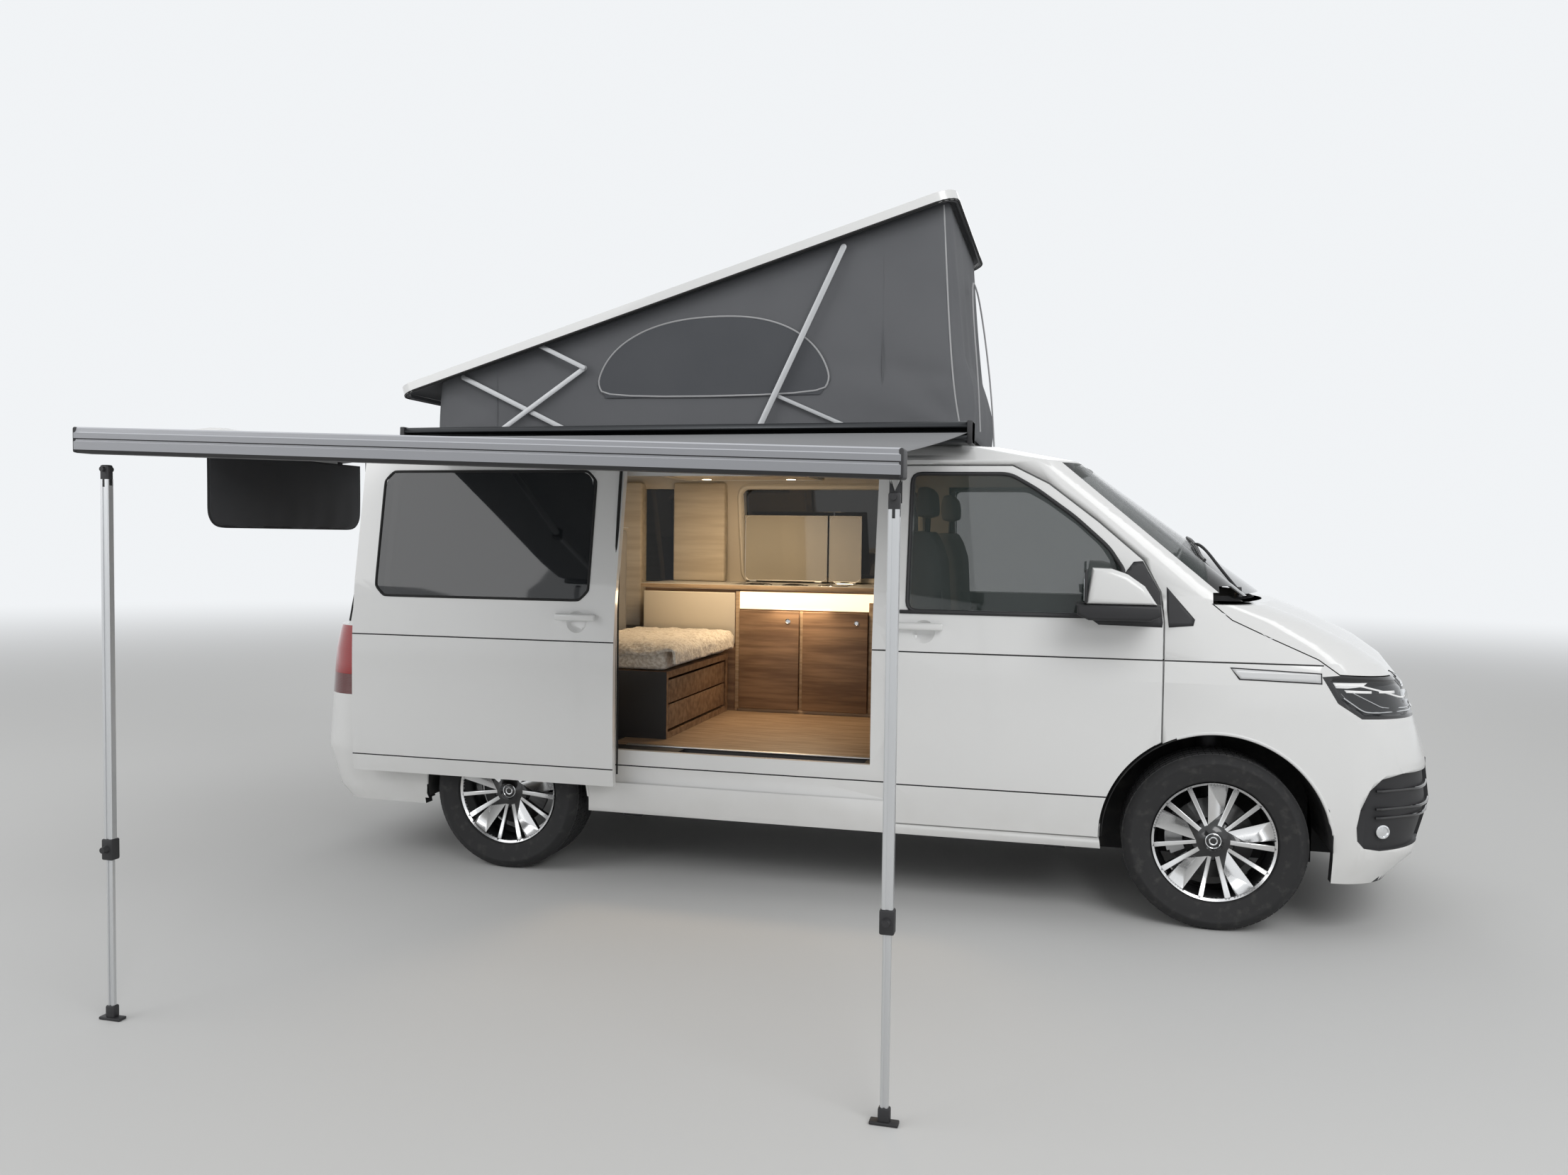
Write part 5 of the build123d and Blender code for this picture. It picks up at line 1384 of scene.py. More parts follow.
# %% Panes
# The windscreen is clear, with a black border and a shaded top, as functions of place.
screen = Finish("windscreen", (0.05, 0.065, 0.062), roughness=0.03, coat=0.6)
forward = screen.along(0) - MIDDLE.x
beside = (screen.along(1) - MIDDLE.y).maths("ABSOLUTE") - forward * 0.135
border = beside.step(0.655, 0.668) + forward.step(1.452, 1.462) + (1 - forward.step(0.935, 0.945))
border = border.maths("MINIMUM", 1.0)
screen.set("Alpha", border * 0.55 + 0.42)
screen.set("Base Color", screen.mix(border, (0.05, 0.065, 0.062), (0.008, 0.008, 0.008)))
screen.set("Roughness", screen.noise(3.0, 4.0) * 0.05 + 0.01)
panes = merged("body_glass")
for face in panes.faces:
    if face.calc_center_median().x > at(0.7, 0, 0).x:
        face.material_index = 1
piece("window_panes", panes, ("privacy_glass", "windscreen"), "body", ("body_glass",), 24, outwards=False)

# %% Window seals
DOOR_WINDOW = [(0.3, 1.216), (1.01, 1.216), (1.142, 1.385), (1.08, 1.48), (0.948, 1.598), (0.799, 1.706),
               (0.69, 1.768), (0.3, 1.768)]
WINDOWS = {name: rounded((left, low), (right, WINDOW_TOP), WINDOW_CORNER)
           for name, left, right, low, side, start in FLANK_WINDOWS}


def seal_round(mesh, node, outline, side, radius=0.006, grow=1.008, start=0.97):
    """Rubber tube round a window opening, a little outside its outline."""
    middle = (sum(x for x, z in outline) / len(outline), sum(z for x, z in outline) / len(outline))
    wider = [(middle[0] + (x - middle[0]) * grow, middle[1] + (z - middle[1]) * (grow + 0.008)) for x, z in outline]
    wire(mesh, along_skin(node, finer(wider, 0.09, closed=True), side, 0.0, start), radius, closed=True, sides=2)


for side, sign in SIDES.items():
    seals, door_seals = bmesh.new(), bmesh.new()
    seal_round(seals, f"side_panel_{side}", WINDOWS[f"rear_{side}"], sign)
    if side == "left":
        seal_round(seals, "side_panel_left", WINDOWS["middle_left"], sign)
    piece(f"window_seals_{side}", seals, "door_seal")
    seal_round(door_seals, f"front_door_{side}", DOOR_WINDOW, sign, 0.0085, 1.012)
    waist = along_skin(f"front_door_{side}", finer([(0.265, 1.207), (1.0, 1.207)], 0.1), sign, 0.0015)
    wire(door_seals, waist, 0.008, sides=2)
    piece(f"door_window_seal_{side}", door_seals, "black_trim", f"door_{side}")
slide_seal = bmesh.new()
seal_round(slide_seal, "sliding_door", WINDOWS["sliding"], -1, start=SLIDING_START)
piece("sliding_window_seal", slide_seal, "door_seal")

# %% [markdown]
# The foot of each windscreen pillar is covered by a black triangle. It is one moulding on the
# door and one on the body, with the door's gap between them.

# %% Pillar triangles
DOOR_TRIANGLE = [(1.016, 1.2), (1.178, 1.425), (1.213, 1.428), (1.278, 1.308), (1.291, 1.19), (1.289, 1.172),
                 (1.05, 1.176)]
BODY_TRIANGLE = [(1.308, 1.172), (1.306, 1.24), (1.296, 1.33), (1.302, 1.331), (1.41, 1.205), (1.404, 1.181)]
for side, sign in SIDES.items():
    skin_patch(f"door_triangle_{side}", f"front_door_{side}", DOOR_TRIANGLE, sign, "black_trim", f"door_{side}",
               start=0.957)
    skin_patch(f"pillar_triangle_{side}", ("wings", f"side_panel_{side}"), BODY_TRIANGLE, sign, "black_trim")

# %% [markdown]
# The side doorway and the tailgate's opening both have a round rubber seal on the body. The open
# sliding door shows its own seal at its leading edge.

# %% Door seals
doorway = bmesh.new()
opening = rounded((-0.975, 0.578), (0.142, 1.757), 0.07)
wire(doorway, along_skin("side_panel_right", finer(opening, 0.1, closed=True), -1, 0.003), 0.009,
     closed=True, sides=2)
for dx, radius in ((0.0, 0.007), (0.018, 0.004)):
    edge = ((-0.985, 0.47), (-0.985, 0.7), (-0.985, 1.0), (-0.985, 1.3), (-0.955, 1.6), (-0.925, 1.78))
    wire(doorway, [(-0.957 + dx * 0.4, y + dx, z) for y, z in edge], radius, sides=2)
for side, sign in SIDES.items():
    gate_line = [(-2.126, 1.84), (-2.166, 1.752), (-2.22, 1.53), (-2.288, 1.262), (-2.306, 1.09)]
    wire(doorway, along_skin(f"side_panel_{side}", finer(gate_line, 0.08), sign, -0.003), 0.0075, sides=2)
    wire(doorway, [(-2.2, sign * 0.735, 0.58), (-2.2, sign * 0.735, 1.05), (-2.19, sign * 0.69, 1.12),
                   (-2.16, sign * 0.665, 1.5), (-2.15, sign * 0.65, 1.82)], 0.009, sides=2)
piece("body_seals", doorway, "door_seal")

# %% [markdown]
# Two wipers rest at the foot of the windscreen. Each has a bent arm and a blade with a rubber
# lip, placed by looking down on the glass.

# %% Wipers
def laid_line(nodes, spots, lift):
    """Points a little above the first of some nodes that is seen from above, from pairs of X and Y."""
    line = []
    for x, y in spots:
        heights = [height for height in (height_at(node, x, y) for node in nodes) if height is not None]
        line += [(x, y, height + lift) for height in heights[:1]]
    return line


wipers = bmesh.new()
for pivot_y, blade_from, blade_to in ((-0.6, -0.66, -0.02), (0.12, 0.02, 0.72)):
    spots = [(1.462 - 0.02 * step / 6, blade_from + (blade_to - blade_from) * step / 6) for step in range(7)]
    blade = laid_line(["body_glass"], spots, 0.012)
    wire(wipers, blade, 0.006, sides=2)
    wire(wipers, [(x, y, z - 0.006) for x, y, z in blade], 0.0035, sides=1)
    x, y, z = blade[len(blade) // 2]
    bar(wipers, (1.6, pivot_y, 1.285), (1.6, pivot_y, 1.325), 0.016, tip=0.012)
    near = laid_line(["body_glass"], [(1.55, pivot_y + 0.04)], 0.018) or [(1.55, pivot_y + 0.04, 1.315)]
    wire(wipers, [(1.6, pivot_y, 1.312), *near, (x + 0.02, y - 0.03, z + 0.008), (x, y, z + 0.004)], 0.0065, sides=2)
piece("wipers", wipers, "black_trim")

# %% [markdown]
# ## The front
# A head lamp is a dark bowl behind a clear cover. The bowl is pressed into a copy of the CAD lamp,
# and the cover is the same area of the CAD lamp's skin, cut out along the same outline. The tail
# lamps are red above and smoked below.

# %% Lamps
TAIL_SPLIT = 0.846
lamp_copy = merged("lamps")
press_panel("lamps", lamp_copy)
bmesh.ops.bisect_plane(lamp_copy, geom=lamp_copy.verts[:] + lamp_copy.edges[:] + lamp_copy.faces[:], dist=0.00002,
                       plane_co=at(0, 0, TAIL_SPLIT), plane_no=(0, 0, 1))
for face in lamp_copy.faces:
    spot = face.calc_center_median() - MIDDLE
    face.material_index = 0 if spot.x > 0 else 1 if spot.z > TAIL_SPLIT else 2
piece("lamp_bowls", lamp_copy, ("gloss_black", "red_lens", "smoked_lens"), "body", ("lamps",), 30, outwards=False)
covers = merged("lamps")
trim_to(covers, LENS_LINE)
unwanted = []
for face in covers.faces:
    spot = face.calc_center_median() - MIDDLE
    if spot.x < 1.85 or not (face.normal.x > 0.25 or face.normal.y * spot.y > 0.3):
        unwanted.append(face)
bmesh.ops.delete(covers, geom=unwanted, context="FACES")
piece("lamp_covers", covers, "lamp_cover", sharp=60, outwards=False)
REFLECTOR = ((0.033, -0.004), (0.031, -0.004), (0.022, -0.013), (0.0001, -0.015), (0.0001, -0.018), (0.033, -0.018))
bowls = bmesh.new()
for side in SIDES.values():
    for y, z in ((0.622, 0.905), (0.735, 0.912)):
        centre = (nose_at("lamps", side * y, z) + 0.003, side * y, z)
        turned(bowls, REFLECTOR, centre, Vector((0.9, side * 0.43, 0)).normalized())
piece("lamp_reflectors", bowls, "chrome")

# %% [markdown]
# Inside each bowl a white light guide runs under the upper edge and a silver line bends round the
# lower edge. Both follow the bowl: rays from the side find it first, and rays from ahead after
# the corner.

# %% Light guides
def round_the_corner(node, side, high, x_from, y_to, proud):
    """Points near a node's skin from its flank round to its nose, the height a function of X."""
    line = []
    for step in range(5):
        x = x_from + (2.09 - x_from) * step / 4
        y = skin_at(node, x, high(x), side)
        if y is not None:
            line.append((x, y + side * proud, high(x)))
    for step in range(6):
        y = 0.79 + (y_to - 0.79) * step / 5
        x = nose_at(node, side * y, high(2.2))
        if x is not None:
            line.append((x + proud, side * y, high(2.2)))
    return line


GUIDES = {"wedge": [(1.906, 0.983), (2.03, 0.984), (2.012, 0.970), (1.957, 0.963), (1.917, 0.963)],
          "bar": [(1.946, 0.957), (2.045, 0.954), (2.045, 0.945), (1.954, 0.947)],
          "short": [(2.075, 0.955), (2.14, 0.952), (2.14, 0.942), (2.075, 0.946)]}
for name, side in SIDES.items():
    for part, outline in GUIDES.items():
        skin_patch(f"light_{part}_{name}", "lamps", outline, side, "light_guide", proud=-0.0045, thickness=0.002)
    guides, lines = bmesh.new(), bmesh.new()
    for mesh, high, x_from, y_to, proud, radius in (
            (guides, lambda x: 0.974 - 0.05 * max(0.0, min(1.0, (x - 2.0) / 0.2)), 1.914, 0.58, -0.003, 0.0034),
            (lines, lambda x: max(0.874, 0.93 - 0.7 * (x - 1.94)), 1.944, 0.58, -0.003, 0.003),
            (lines, lambda x: max(0.886, 0.955 - 0.5 * (x - 1.96)), 1.975, 0.6, -0.004, 0.002)):
        wire(mesh, round_the_corner("lamps", side, high, x_from, y_to, proud), radius, sides=2)
    piece(f"light_guide_{name}", guides, "light_guide")
    piece(f"lamp_line_{name}", lines, "chrome")

# %% [markdown]
# The nose has thin bright lines across the grille, a blank round disc where a badge would be, a
# blank number plate, and a fog lamp with three slats on each side. A small blank plate with a
# black edge lies on each wing.

# %% Nose trim
nose = bmesh.new()
for height, radius in ((0.859, 0.0035), (0.895, 0.0035), (0.945, 0.005)):
    spots = [(nose_at("grille", y, height), y, height) for y in (-0.53, -0.4, -0.2, 0.0, 0.2, 0.4, 0.53)]
    wire(nose, [(x + 0.001, y, z) for x, y, z in spots if x is not None], radius, sides=2)
turned(nose, [(0.058, -0.004), (0.058, 0.006), (0.049, 0.008), (0.047, 0.004), (0.0001, 0.004), (0.0001, -0.004)],
       (nose_at("grille", 0.0, 0.895), 0.0, 0.892), (1, 0, 0))
piece("nose_trim", nose, "chrome")
WING_PLATE = [(1.545, 1.023), (1.863, 1.012), (1.864, 0.98), (1.577, 0.986)]
PLATE_MIDDLE = Vector((1.71, 1.0))
PLATE_EDGE = [tuple(PLATE_MIDDLE + (Vector(spot) - PLATE_MIDDLE) * 1.03
                    + Vector((0, math.copysign(0.004, spot[1] - 1)))) for spot in WING_PLATE]
for name, side in SIDES.items():
    fog, slats = bmesh.new(), bmesh.new()
    centre = (2.1, skin_at("bumpers", 2.1, 0.424, side) - side * 0.008, 0.424)
    turned(fog, [(0.026, -0.004), (0.026, 0.006), (0.021, 0.007), (0.019, 0.002), (0.0001, 0.004), (0.0001, -0.004)],
           centre, Vector((0.3, side * 0.95, 0)).normalized())
    piece(f"fog_lamp_{name}", fog, "chrome")
    for height in (0.478, 0.512, 0.58):
        wire(slats, round_the_corner("bumpers", side, lambda x: height, 2.07, 0.6, -0.004), 0.0055, sides=2)
    piece(f"fog_slats_{name}", slats, "gloss_black")
    skin_patch(f"badge_edge_{name}", "wings", PLATE_EDGE, side, "black_trim", proud=0.001)
    skin_patch(f"badge_plate_{name}", "wings", WING_PLATE, side, "plate_white", proud=0.0022)
plate_x = nose_at("bumpers", 0.0, 0.56)
blocks("front_plate_holder", "black_trim", ((plate_x - 0.012, -0.262, 0.502), (plate_x + 0.001, 0.262, 0.616), 0.003))
blocks("front_plate", "plate_white", ((plate_x - 0.002, -0.257, 0.506), (plate_x + 0.0025, 0.257, 0.612), 0.0015))
print("the front plate stands at", round(plate_x, 3), "m")

# %% [markdown]
# A wheel arch has a raised painted lip and a black plastic liner behind it. The lip of the front
# arch ends at the front door's gap.

# %% Wheel arches
DOOR_GAP = 1.312


def arch_spots(centre_x, radius, low=0.31, steps=30):
    """Points along a wheel arch above a height."""
    spots = [(centre_x + x, TYRE_RADIUS + z) for x, z in arc((0, 0), radius, -12, 192, steps)]
    return [spot for spot in spots if spot[1] > low]


def lip(name, node, spots, side):
    mesh = bmesh.new()
    wire(mesh, along_skin(node, spots, side, -0.002), 0.0068, sides=2)
    piece(name, mesh, "white_paint")


def liner(name, centre_x, radius, side, inner, outer_node):
    """Curved black sheet behind the lip."""
    spots = arch_spots(centre_x, radius - 0.0045, 0.3, 36)
    last = len(spots) - 1

    def place(along, across):
        x, z = spots[round(along * last)]
        away = Vector((x - centre_x, z - TYRE_RADIUS)).normalized() * 0.014
        skin = skin_at(outer_node, x + away.x, z + away.y, side)
        outer = 0.93 if skin is None else abs(skin) - 0.004
        return at(x, side * (inner + (outer - inner) * across), z)

    thicken(piece(name, sheet(last, 3, place), "wheel_liner", sharp=70), 0.003)


for name, side in SIDES.items():
    lip(f"arch_lip_wing_{name}", "wings", [(x, z) for x, z in arch_spots(*ARCHES[0]) if x > DOOR_GAP], side)
    lip(f"arch_lip_rear_{name}", f"side_panel_{name}", arch_spots(*ARCHES[1]), side)
    liner(f"liner_front_{name}", *ARCHES[0], side, 0.487, ("wings", f"front_door_{name}", f"side_panel_{name}"))
    liner(f"liner_rear_{name}", *ARCHES[1], side, 0.64, (f"side_panel_{name}", "bumpers"))
    # An inner wall closes each front arch towards the middle of the van: partly the wheel housing, partly a black
    # sheet as painted shade where the ground under the van would show.
    inner_and_shade_wall = bmesh.new()
    over = arch_spots(ARCHES[0][0], 0.424, 0.3, 24)
    plate(inner_and_shade_wall, over + [(over[-1][0], 0.19), (over[0][0], 0.19)], 1, side * 0.484, side * 0.487)
    side_block(inner_and_shade_wall, side, (1.905, 0.484, 0.235), (2.25, 0.487, 0.5), 0.001)
    piece(f"liner_and_shade_wall_{name}", inner_and_shade_wall, "wheel_liner")

# %% [markdown]
# ## The rear
# The open tailgate lies almost level, so its outer side faces up and its lining faces down. Its
# fittings are laid on it by looking down on the CAD panel.

# %% Tailgate fittings
GATE_HINGE_X = -2.192
GATE_TURN = math.radians(79.0)
PLATE_HALF = (0.052, 0.258)


def gate_x(down):
    """X of the open tailgate at a distance below its hinge."""
    return GATE_HINGE_X - down * math.sin(GATE_TURN)


def plate_point(along, across):
    x = gate_x(1.086) + PLATE_HALF[0] * (2 * along - 1)
    y = PLATE_HALF[1] * (2 * across - 1)
    return at(x, y, height_at("tailgate", x, y) + 0.002)


thicken(piece("rear_plate", sheet(6, 14, plate_point), "plate_white", "tailgate", sharp=60), 0.002)
rear_wiper = bmesh.new()
spots = [(gate_x(0.62) + 0.02 * math.sin(step / 2), -0.16 + 0.34 * step / 6) for step in range(7)]
blade = laid_line(["tailgate_glass", "tailgate"], spots, 0.008)
wire(rear_wiper, blade, 0.005, sides=2)
foot_x = gate_x(0.8)
foot_z = height_at("tailgate", foot_x, 0.02)
bar(rear_wiper, (foot_x, 0.02, foot_z - 0.004), (foot_x, 0.02, foot_z + 0.016), 0.018, tip=0.013)
x, y, z = blade[3]
wire(rear_wiper, [(foot_x, 0.02, foot_z + 0.014), (foot_x + 0.06, 0.02, foot_z + 0.016), (x, y, z + 0.006)],
     0.0055, sides=2)
piece("rear_wiper", rear_wiper, "black_trim", "tailgate")
print("the rear plate lies at", round(gate_x(1.086), 3), "m")

# %% [markdown]
# An emptied bag for the folding chairs hangs from the open tailgate. It is one padded-looking
# panel of dark cloth with bound edges and a zip, so it is a grid with its lower corners rounded
# and with soft folds that fall from its straps.

# %% The hanging bag
BAG_X, BAG_TOP, BAG_LOW, BAG_HALF = -3.3, 1.903, 1.52, 0.64
BAG_CORNER = 0.09


def bag_point(across, down):
    """Point of the bag: across is -1 to 1, down is 0 to 1."""
    tall = BAG_TOP - BAG_LOW
    past = max(0.0, down * tall - (tall - BAG_CORNER))
    half = BAG_HALF - BAG_CORNER + math.sqrt(max(0.0, BAG_CORNER ** 2 - past ** 2))
    hang = 0.0035 * math.sin(across * 9.0 + 0.6) * down + 0.0025 * math.sin(across * 23.0) * down ** 2
    return (BAG_X + hang + 0.002 * math.sin(down * 3.0), across * half, BAG_TOP - down * tall)


bag = sheet(90, 30, lambda across, up: at(*bag_point(2 * across - 1, 1 - up)))
bmesh.ops.remove_doubles(bag, verts=bag.verts, dist=0.0003)
bag_panel = thicken(piece("bag_panel", bag, "bag_cloth", "bag", ("bag_flap",), 60), 0.004)
edging = bmesh.new()
DOWN_THE_EDGE = (0.0, 0.3, 0.6, 0.78, 0.86, 0.93, 0.98)
ALONG_THE_FOOT = (-0.98, *(step / 5 - 1 for step in range(1, 10)), 0.98)
wire(edging, [*(bag_point(-1, share) for share in DOWN_THE_EDGE),
              *(bag_point(across, 1) for across in ALONG_THE_FOOT),
              *(bag_point(1, share) for share in reversed(DOWN_THE_EDGE))], 0.0055, sides=2)
wire(edging, [bag_point(step / 5 - 1, 0.12) for step in range(11)], 0.004, sides=1)
binding = piece("bag_binding", edging, "bag_edge", "bag")
straps = [(*centred(BAG_X, y, 0.004, 0.02, BAG_TOP - 0.01, BAG_TOP + 0.012), 0.002) for y in (-0.45, 0.45)]
blocks("bag_straps", "bag_edge", *straps, body="bag")

# %% [markdown]
# ## The living space
# Upholstery is a cover filled with foam. Each pad starts a little too small, gets an even net of
# faces, and is blown up as cloth under pressure, so that its sides pull in between the corners.
# The underside is then pressed flat where it rests.


# %% Pads
PUFF_LIMIT = 0.016


def puffed(mesh, voxel, rest):
    """Inflate a closed shape as cloth and press it flat on what it rests on."""
    cover = added("cover", mesh_data("cover", mesh))
    net = cover.modifiers.new("net", "REMESH")
    net.mode = "VOXEL"
    net.voxel_size = voxel
    even = bpy.data.meshes.new_from_object(cover.evaluated_get(bpy.context.evaluated_depsgraph_get()))
    cover.modifiers.clear()
    cover.data = even
    cloth = cover.modifiers.new("puff", "CLOTH")
    cloth.settings.use_pressure = True
    cloth.settings.uniform_pressure_force = 4.0
    cloth.settings.effector_weights.gravity = 0.0
    for step in range(1, 21):
        bpy.context.scene.frame_set(step)
    blown = cover.evaluated_get(bpy.context.evaluated_depsgraph_get()).data
    for vert, moved in zip(even.vertices, blown.vertices):
        shift = moved.co - vert.co
        vert.co += shift * min(1.0, PUFF_LIMIT / max(shift.length, 0.0001))
    bpy.context.scene.frame_set(1)
    for vert in even.vertices:
        vert.co.z = max(vert.co.z, rest)
    mesh = bmesh.new()
    mesh.from_mesh(even)
    bpy.data.objects.remove(cover)
    return mesh


def shrunk(outline, amount):
    """Convex-looking outline pulled in towards its middle."""
    middle = Vector((sum(x for x, z in outline), sum(z for x, z in outline))) / len(outline)
    return [tuple(Vector(spot) - (Vector(spot) - middle).normalized() * amount) for spot in outline]


def pad(name, outline, y_span, finish, stands_for=(), voxel=0.013, round_off=0.022):
    """Padded piece from a side outline, slightly too small at first."""
    mesh = bmesh.new()
    plate(mesh, shrunk(outline, 0.009), 1, y_span[0] + 0.008, y_span[1] - 0.008, round_off, 3)
    bmesh.ops.recalc_face_normals(mesh, faces=mesh.faces)
    mesh = puffed(mesh, voxel, min(z for x, z in outline))
    made = piece(name, mesh, finish, stands_for=stands_for, sharp=70)
    finer_net = made.modifiers.new("smooth", "SUBSURF")
    finer_net.levels = finer_net.render_levels = 1


# %% The bench and the bed
BENCH_Y = (-0.632, 0.322)
pad("bench_seat", [(-1.37, 0.884), (-0.842, 0.884), (-0.836, 0.93), (-0.85, 0.985), (-0.9, 0.996), (-1.37, 0.996)],
    BENCH_Y, "fleece", ("cushions",))
pad("bench_back", [(-1.55, 0.886), (-1.41, 0.886), (-1.41, 1.55), (-1.55, 1.55)], BENCH_Y, "seat_cloth")
pad("bed_cushion", [(-2.28, 0.884), (-1.585, 0.884), (-1.585, 0.962), (-2.28, 0.962)], (-0.632, 0.632), "seat_cloth",
    voxel=0.016)
seams = bmesh.new()
for x, z in ((-1.412, 1.545), (-1.412, 0.89), (-1.548, 1.545)):
    wire(seams, [(x, BENCH_Y[0] + 0.02 + 0.91 * step / 6, z) for step in range(7)], 0.003, sides=1)
piece("bench_piping", seams, "piping_cloth")

# %% [markdown]
# The bench seat wears a thick fleece throw. It is one grid that follows the seat's top, turns
# over its front edge and hangs a little way down, with a lumpy surface and a lowered side.

# %% The fleece throw
THROW_LONG, THROW_FLAT, THROW_BEND = 0.62, 0.5, 0.05


def throw_point(along, across):
    """Point of the throw: a share of the way over the front edge and a share to the left."""
    y = BENCH_Y[0] - 0.012 + (BENCH_Y[1] - BENCH_Y[0] - 0.01) * across
    reach = THROW_LONG * along
    if reach < THROW_FLAT:
        x, z = -1.36 + reach, 1.004
    else:
        turn = min((reach - THROW_FLAT) / THROW_BEND, math.pi / 2)
        x = -0.86 + THROW_BEND * math.sin(turn) + 0.004
        z = 0.954 + THROW_BEND * math.cos(turn) - max(0.0, reach - THROW_FLAT - THROW_BEND * math.pi / 2)
    near = max(0.0, -0.57 - y) / 0.075
    z -= 0.05 * min(1.0, near) ** 2 * max(0.0, 1.0 - max(0.0, reach - 0.45) / 0.1)
    lump = noise.noise(Vector((x, y, z)) * 17.0) * 0.009 + noise.noise(Vector((x, y, z)) * 55.0) * 0.004
    return at(x + lump * 0.6, y, z + lump + 0.004)


throw_piece = thicken(piece("bench_throw", sheet(70, 110, throw_point), "fleece", sharp=80), 0.012)

# %% [markdown]
# Each front seat stands on a turning base. Its three pads are made in the same way, and its side
# bolsters are sewn on with piping.

# %% Front seats
SEAT_Y = 0.47
SEAT_BASE = [(0.384, 0.865), (0.872, 0.865), (0.9, 0.9), (0.892, 0.968), (0.838, 0.99), (0.396, 0.958)]
SEAT_BACK = [(0.29, 0.88), (0.396, 0.9), (0.404, 1.13), (0.38, 1.42), (0.334, 1.56), (0.264, 1.556), (0.256, 1.38),
             (0.284, 1.05)]
SEAT_HEAD = [(0.276, 1.592), (0.36, 1.598), (0.354, 1.712), (0.322, 1.742), (0.28, 1.736), (0.262, 1.66)]
SEAT_PIPING = (((0.43, 0.969), (0.6, 0.979), (0.83, 0.994)),
               ((0.401, 0.98), (0.408, 1.13), (0.396, 1.3), (0.372, 1.46)))
for name, side in SIDES.items():
    middle = side * SEAT_Y
    pad(f"seat_base_{name}", SEAT_BASE, (middle - 0.238, middle + 0.238), "seat_cloth",
        ("front_seats",) if side < 0 else (), round_off=0.026)
    pad(f"seat_back_{name}", SEAT_BACK, (middle - 0.236, middle + 0.236), "seat_cloth", round_off=0.024)
    pad(f"seat_head_{name}", SEAT_HEAD, (middle - 0.128, middle + 0.128), "seat_cloth", voxel=0.009, round_off=0.02)
    frame_work, piping = bmesh.new(), bmesh.new()
    block(frame_work, *centred(0.63, middle, 0.2, 0.2, 0.5705, 0.862), 0.012)
    turned(frame_work, [(0.19, 0.0), (0.19, 0.012), (0.16, 0.014), (0.16, 0.0)], (0.63, middle, 0.5675), (0, 0, 1))
    for y in (middle - 0.045, middle + 0.045):
        bar(frame_work, (0.312, y, 1.52), (0.316, y, 1.64), 0.007)
    piece(f"seat_frame_{name}", frame_work, "black_trim")
    for y in (middle - 0.15, middle + 0.15):
        for line in SEAT_PIPING:
            wire(piping, [(x, y, z) for x, z in line], 0.003, sides=1)
    piece(f"seat_piping_{name}", piping, "piping_cloth")

# %% [markdown]
# The kitchen's doors are boards with rounded edges and a round push knob. A strip light hides
# under the worktop's front edge and warms the room, as do four small lamps in the ceiling.

# %% Kitchen
for name, right in (("rear", -0.461), ("front", -0.092)):
    node = f"cabinet_door_{name}"
    board, knob = merged(node), bmesh.new()
    soften(board, sharper(board, CRISP), 0.003, 3, clamp=True)
    piece(f"cabinet_board_{name}", board, "cabinet_wood", node, (node,), 40, outwards=False)
    turned(knob, [(0.014, 0.0), (0.014, 0.003), (0.01, 0.004), (0.009, 0.002), (0.0001, 0.002), (0.0001, 0.0)],
           (right - 0.06, 0.3315, 1.06), (0, -1, 0), 24)
    piece(f"cabinet_knob_{name}", knob, "chrome", node)

FASCIA = ((-1.352, 0.3365, 1.223, 0.03, 1.245), (-0.80, 0.344, 0.567, -0.04, 0.588),
          (-0.089, 0.344, 0.588, -0.04, 1.168), (-0.459, 0.344, 0.588, -0.442, 1.114),
          (-0.812, 0.344, 0.567, -0.79, 1.215))
blocks("kitchen_fascia", "trim_wood",
       *(((left, y, low), (right, 0.3515, high), 0.002) for left, y, low, right, high in FASCIA))
blocks("strip_light", "light_strip", ((-0.79, 0.346, 1.12), (-0.041, 0.3518, 1.212), 0.0018))
blocks("cream_panel", "cream_panel", ((-1.336, 0.338, 0.93), (-0.815, 0.3518, 1.205), 0.006, 3))
blocks("wall_boards", "wall_wood", ((-1.31, 0.735, 1.247), (-1.0, 0.80, 1.81), 0.012, 3),
       ((-2.05, 0.70, 0.98), (-1.49, 0.79, 1.81), 0.012, 3))
sill = bmesh.new()
inner_line = []
for x, z in finer(rounded((-0.925, 1.25), (0.115, 1.79), 0.06), 0.1, closed=True):
    start = at(x + math.copysign(0.012, x + 0.4), 0.3, z + math.copysign(0.012, z - 1.5))
    struck = surface("side_panel_left").ray_cast(start, Vector((0, 1, 0)), 0.7)[0]
    if struck is not None:
        inner_line.append((x, struck.y - MIDDLE.y, z))
wire(sill, inner_line, 0.017, closed=True, sides=2)
piece("window_frame", sill, "cream_panel")

# %% Hob, sink and glass lids
TOP = 1.2376
PAN_SUPPORT = ((1.45, 1.238), (1.4, 1.2445), (0.4, 1.2475))
blocks("hob_glass", "gloss_black", ((-0.877, 0.423, 1.2362), (-0.443, 0.767, TOP), 0.0005))
burners = bmesh.new()
for x, radius in ((-0.765, 0.066), (-0.56, 0.05)):
    turned(burners, [(radius, 0.0), (radius * 0.9, 0.004), (radius * 0.6, 0.004), (radius * 0.6, 0.01),
                     (radius * 0.4, 0.012), (0.0001, 0.012), (0.0001, 0.0)], (x, 0.595, TOP), (0, 0, 1), 32)
    for dx, dy in arc((0.0, 0.0), radius, 45, 315, 3):
        wire(burners, [(x + dx * share, 0.595 + dy * share, z) for share, z in PAN_SUPPORT], 0.0024, sides=1)
for y in (0.452, 0.51):
    turned(burners, [(0.017, 0.0), (0.015, 0.009), (0.0001, 0.009), (0.0001, 0.0)], (-0.472, y, TOP), (0, 0, 1), 24)
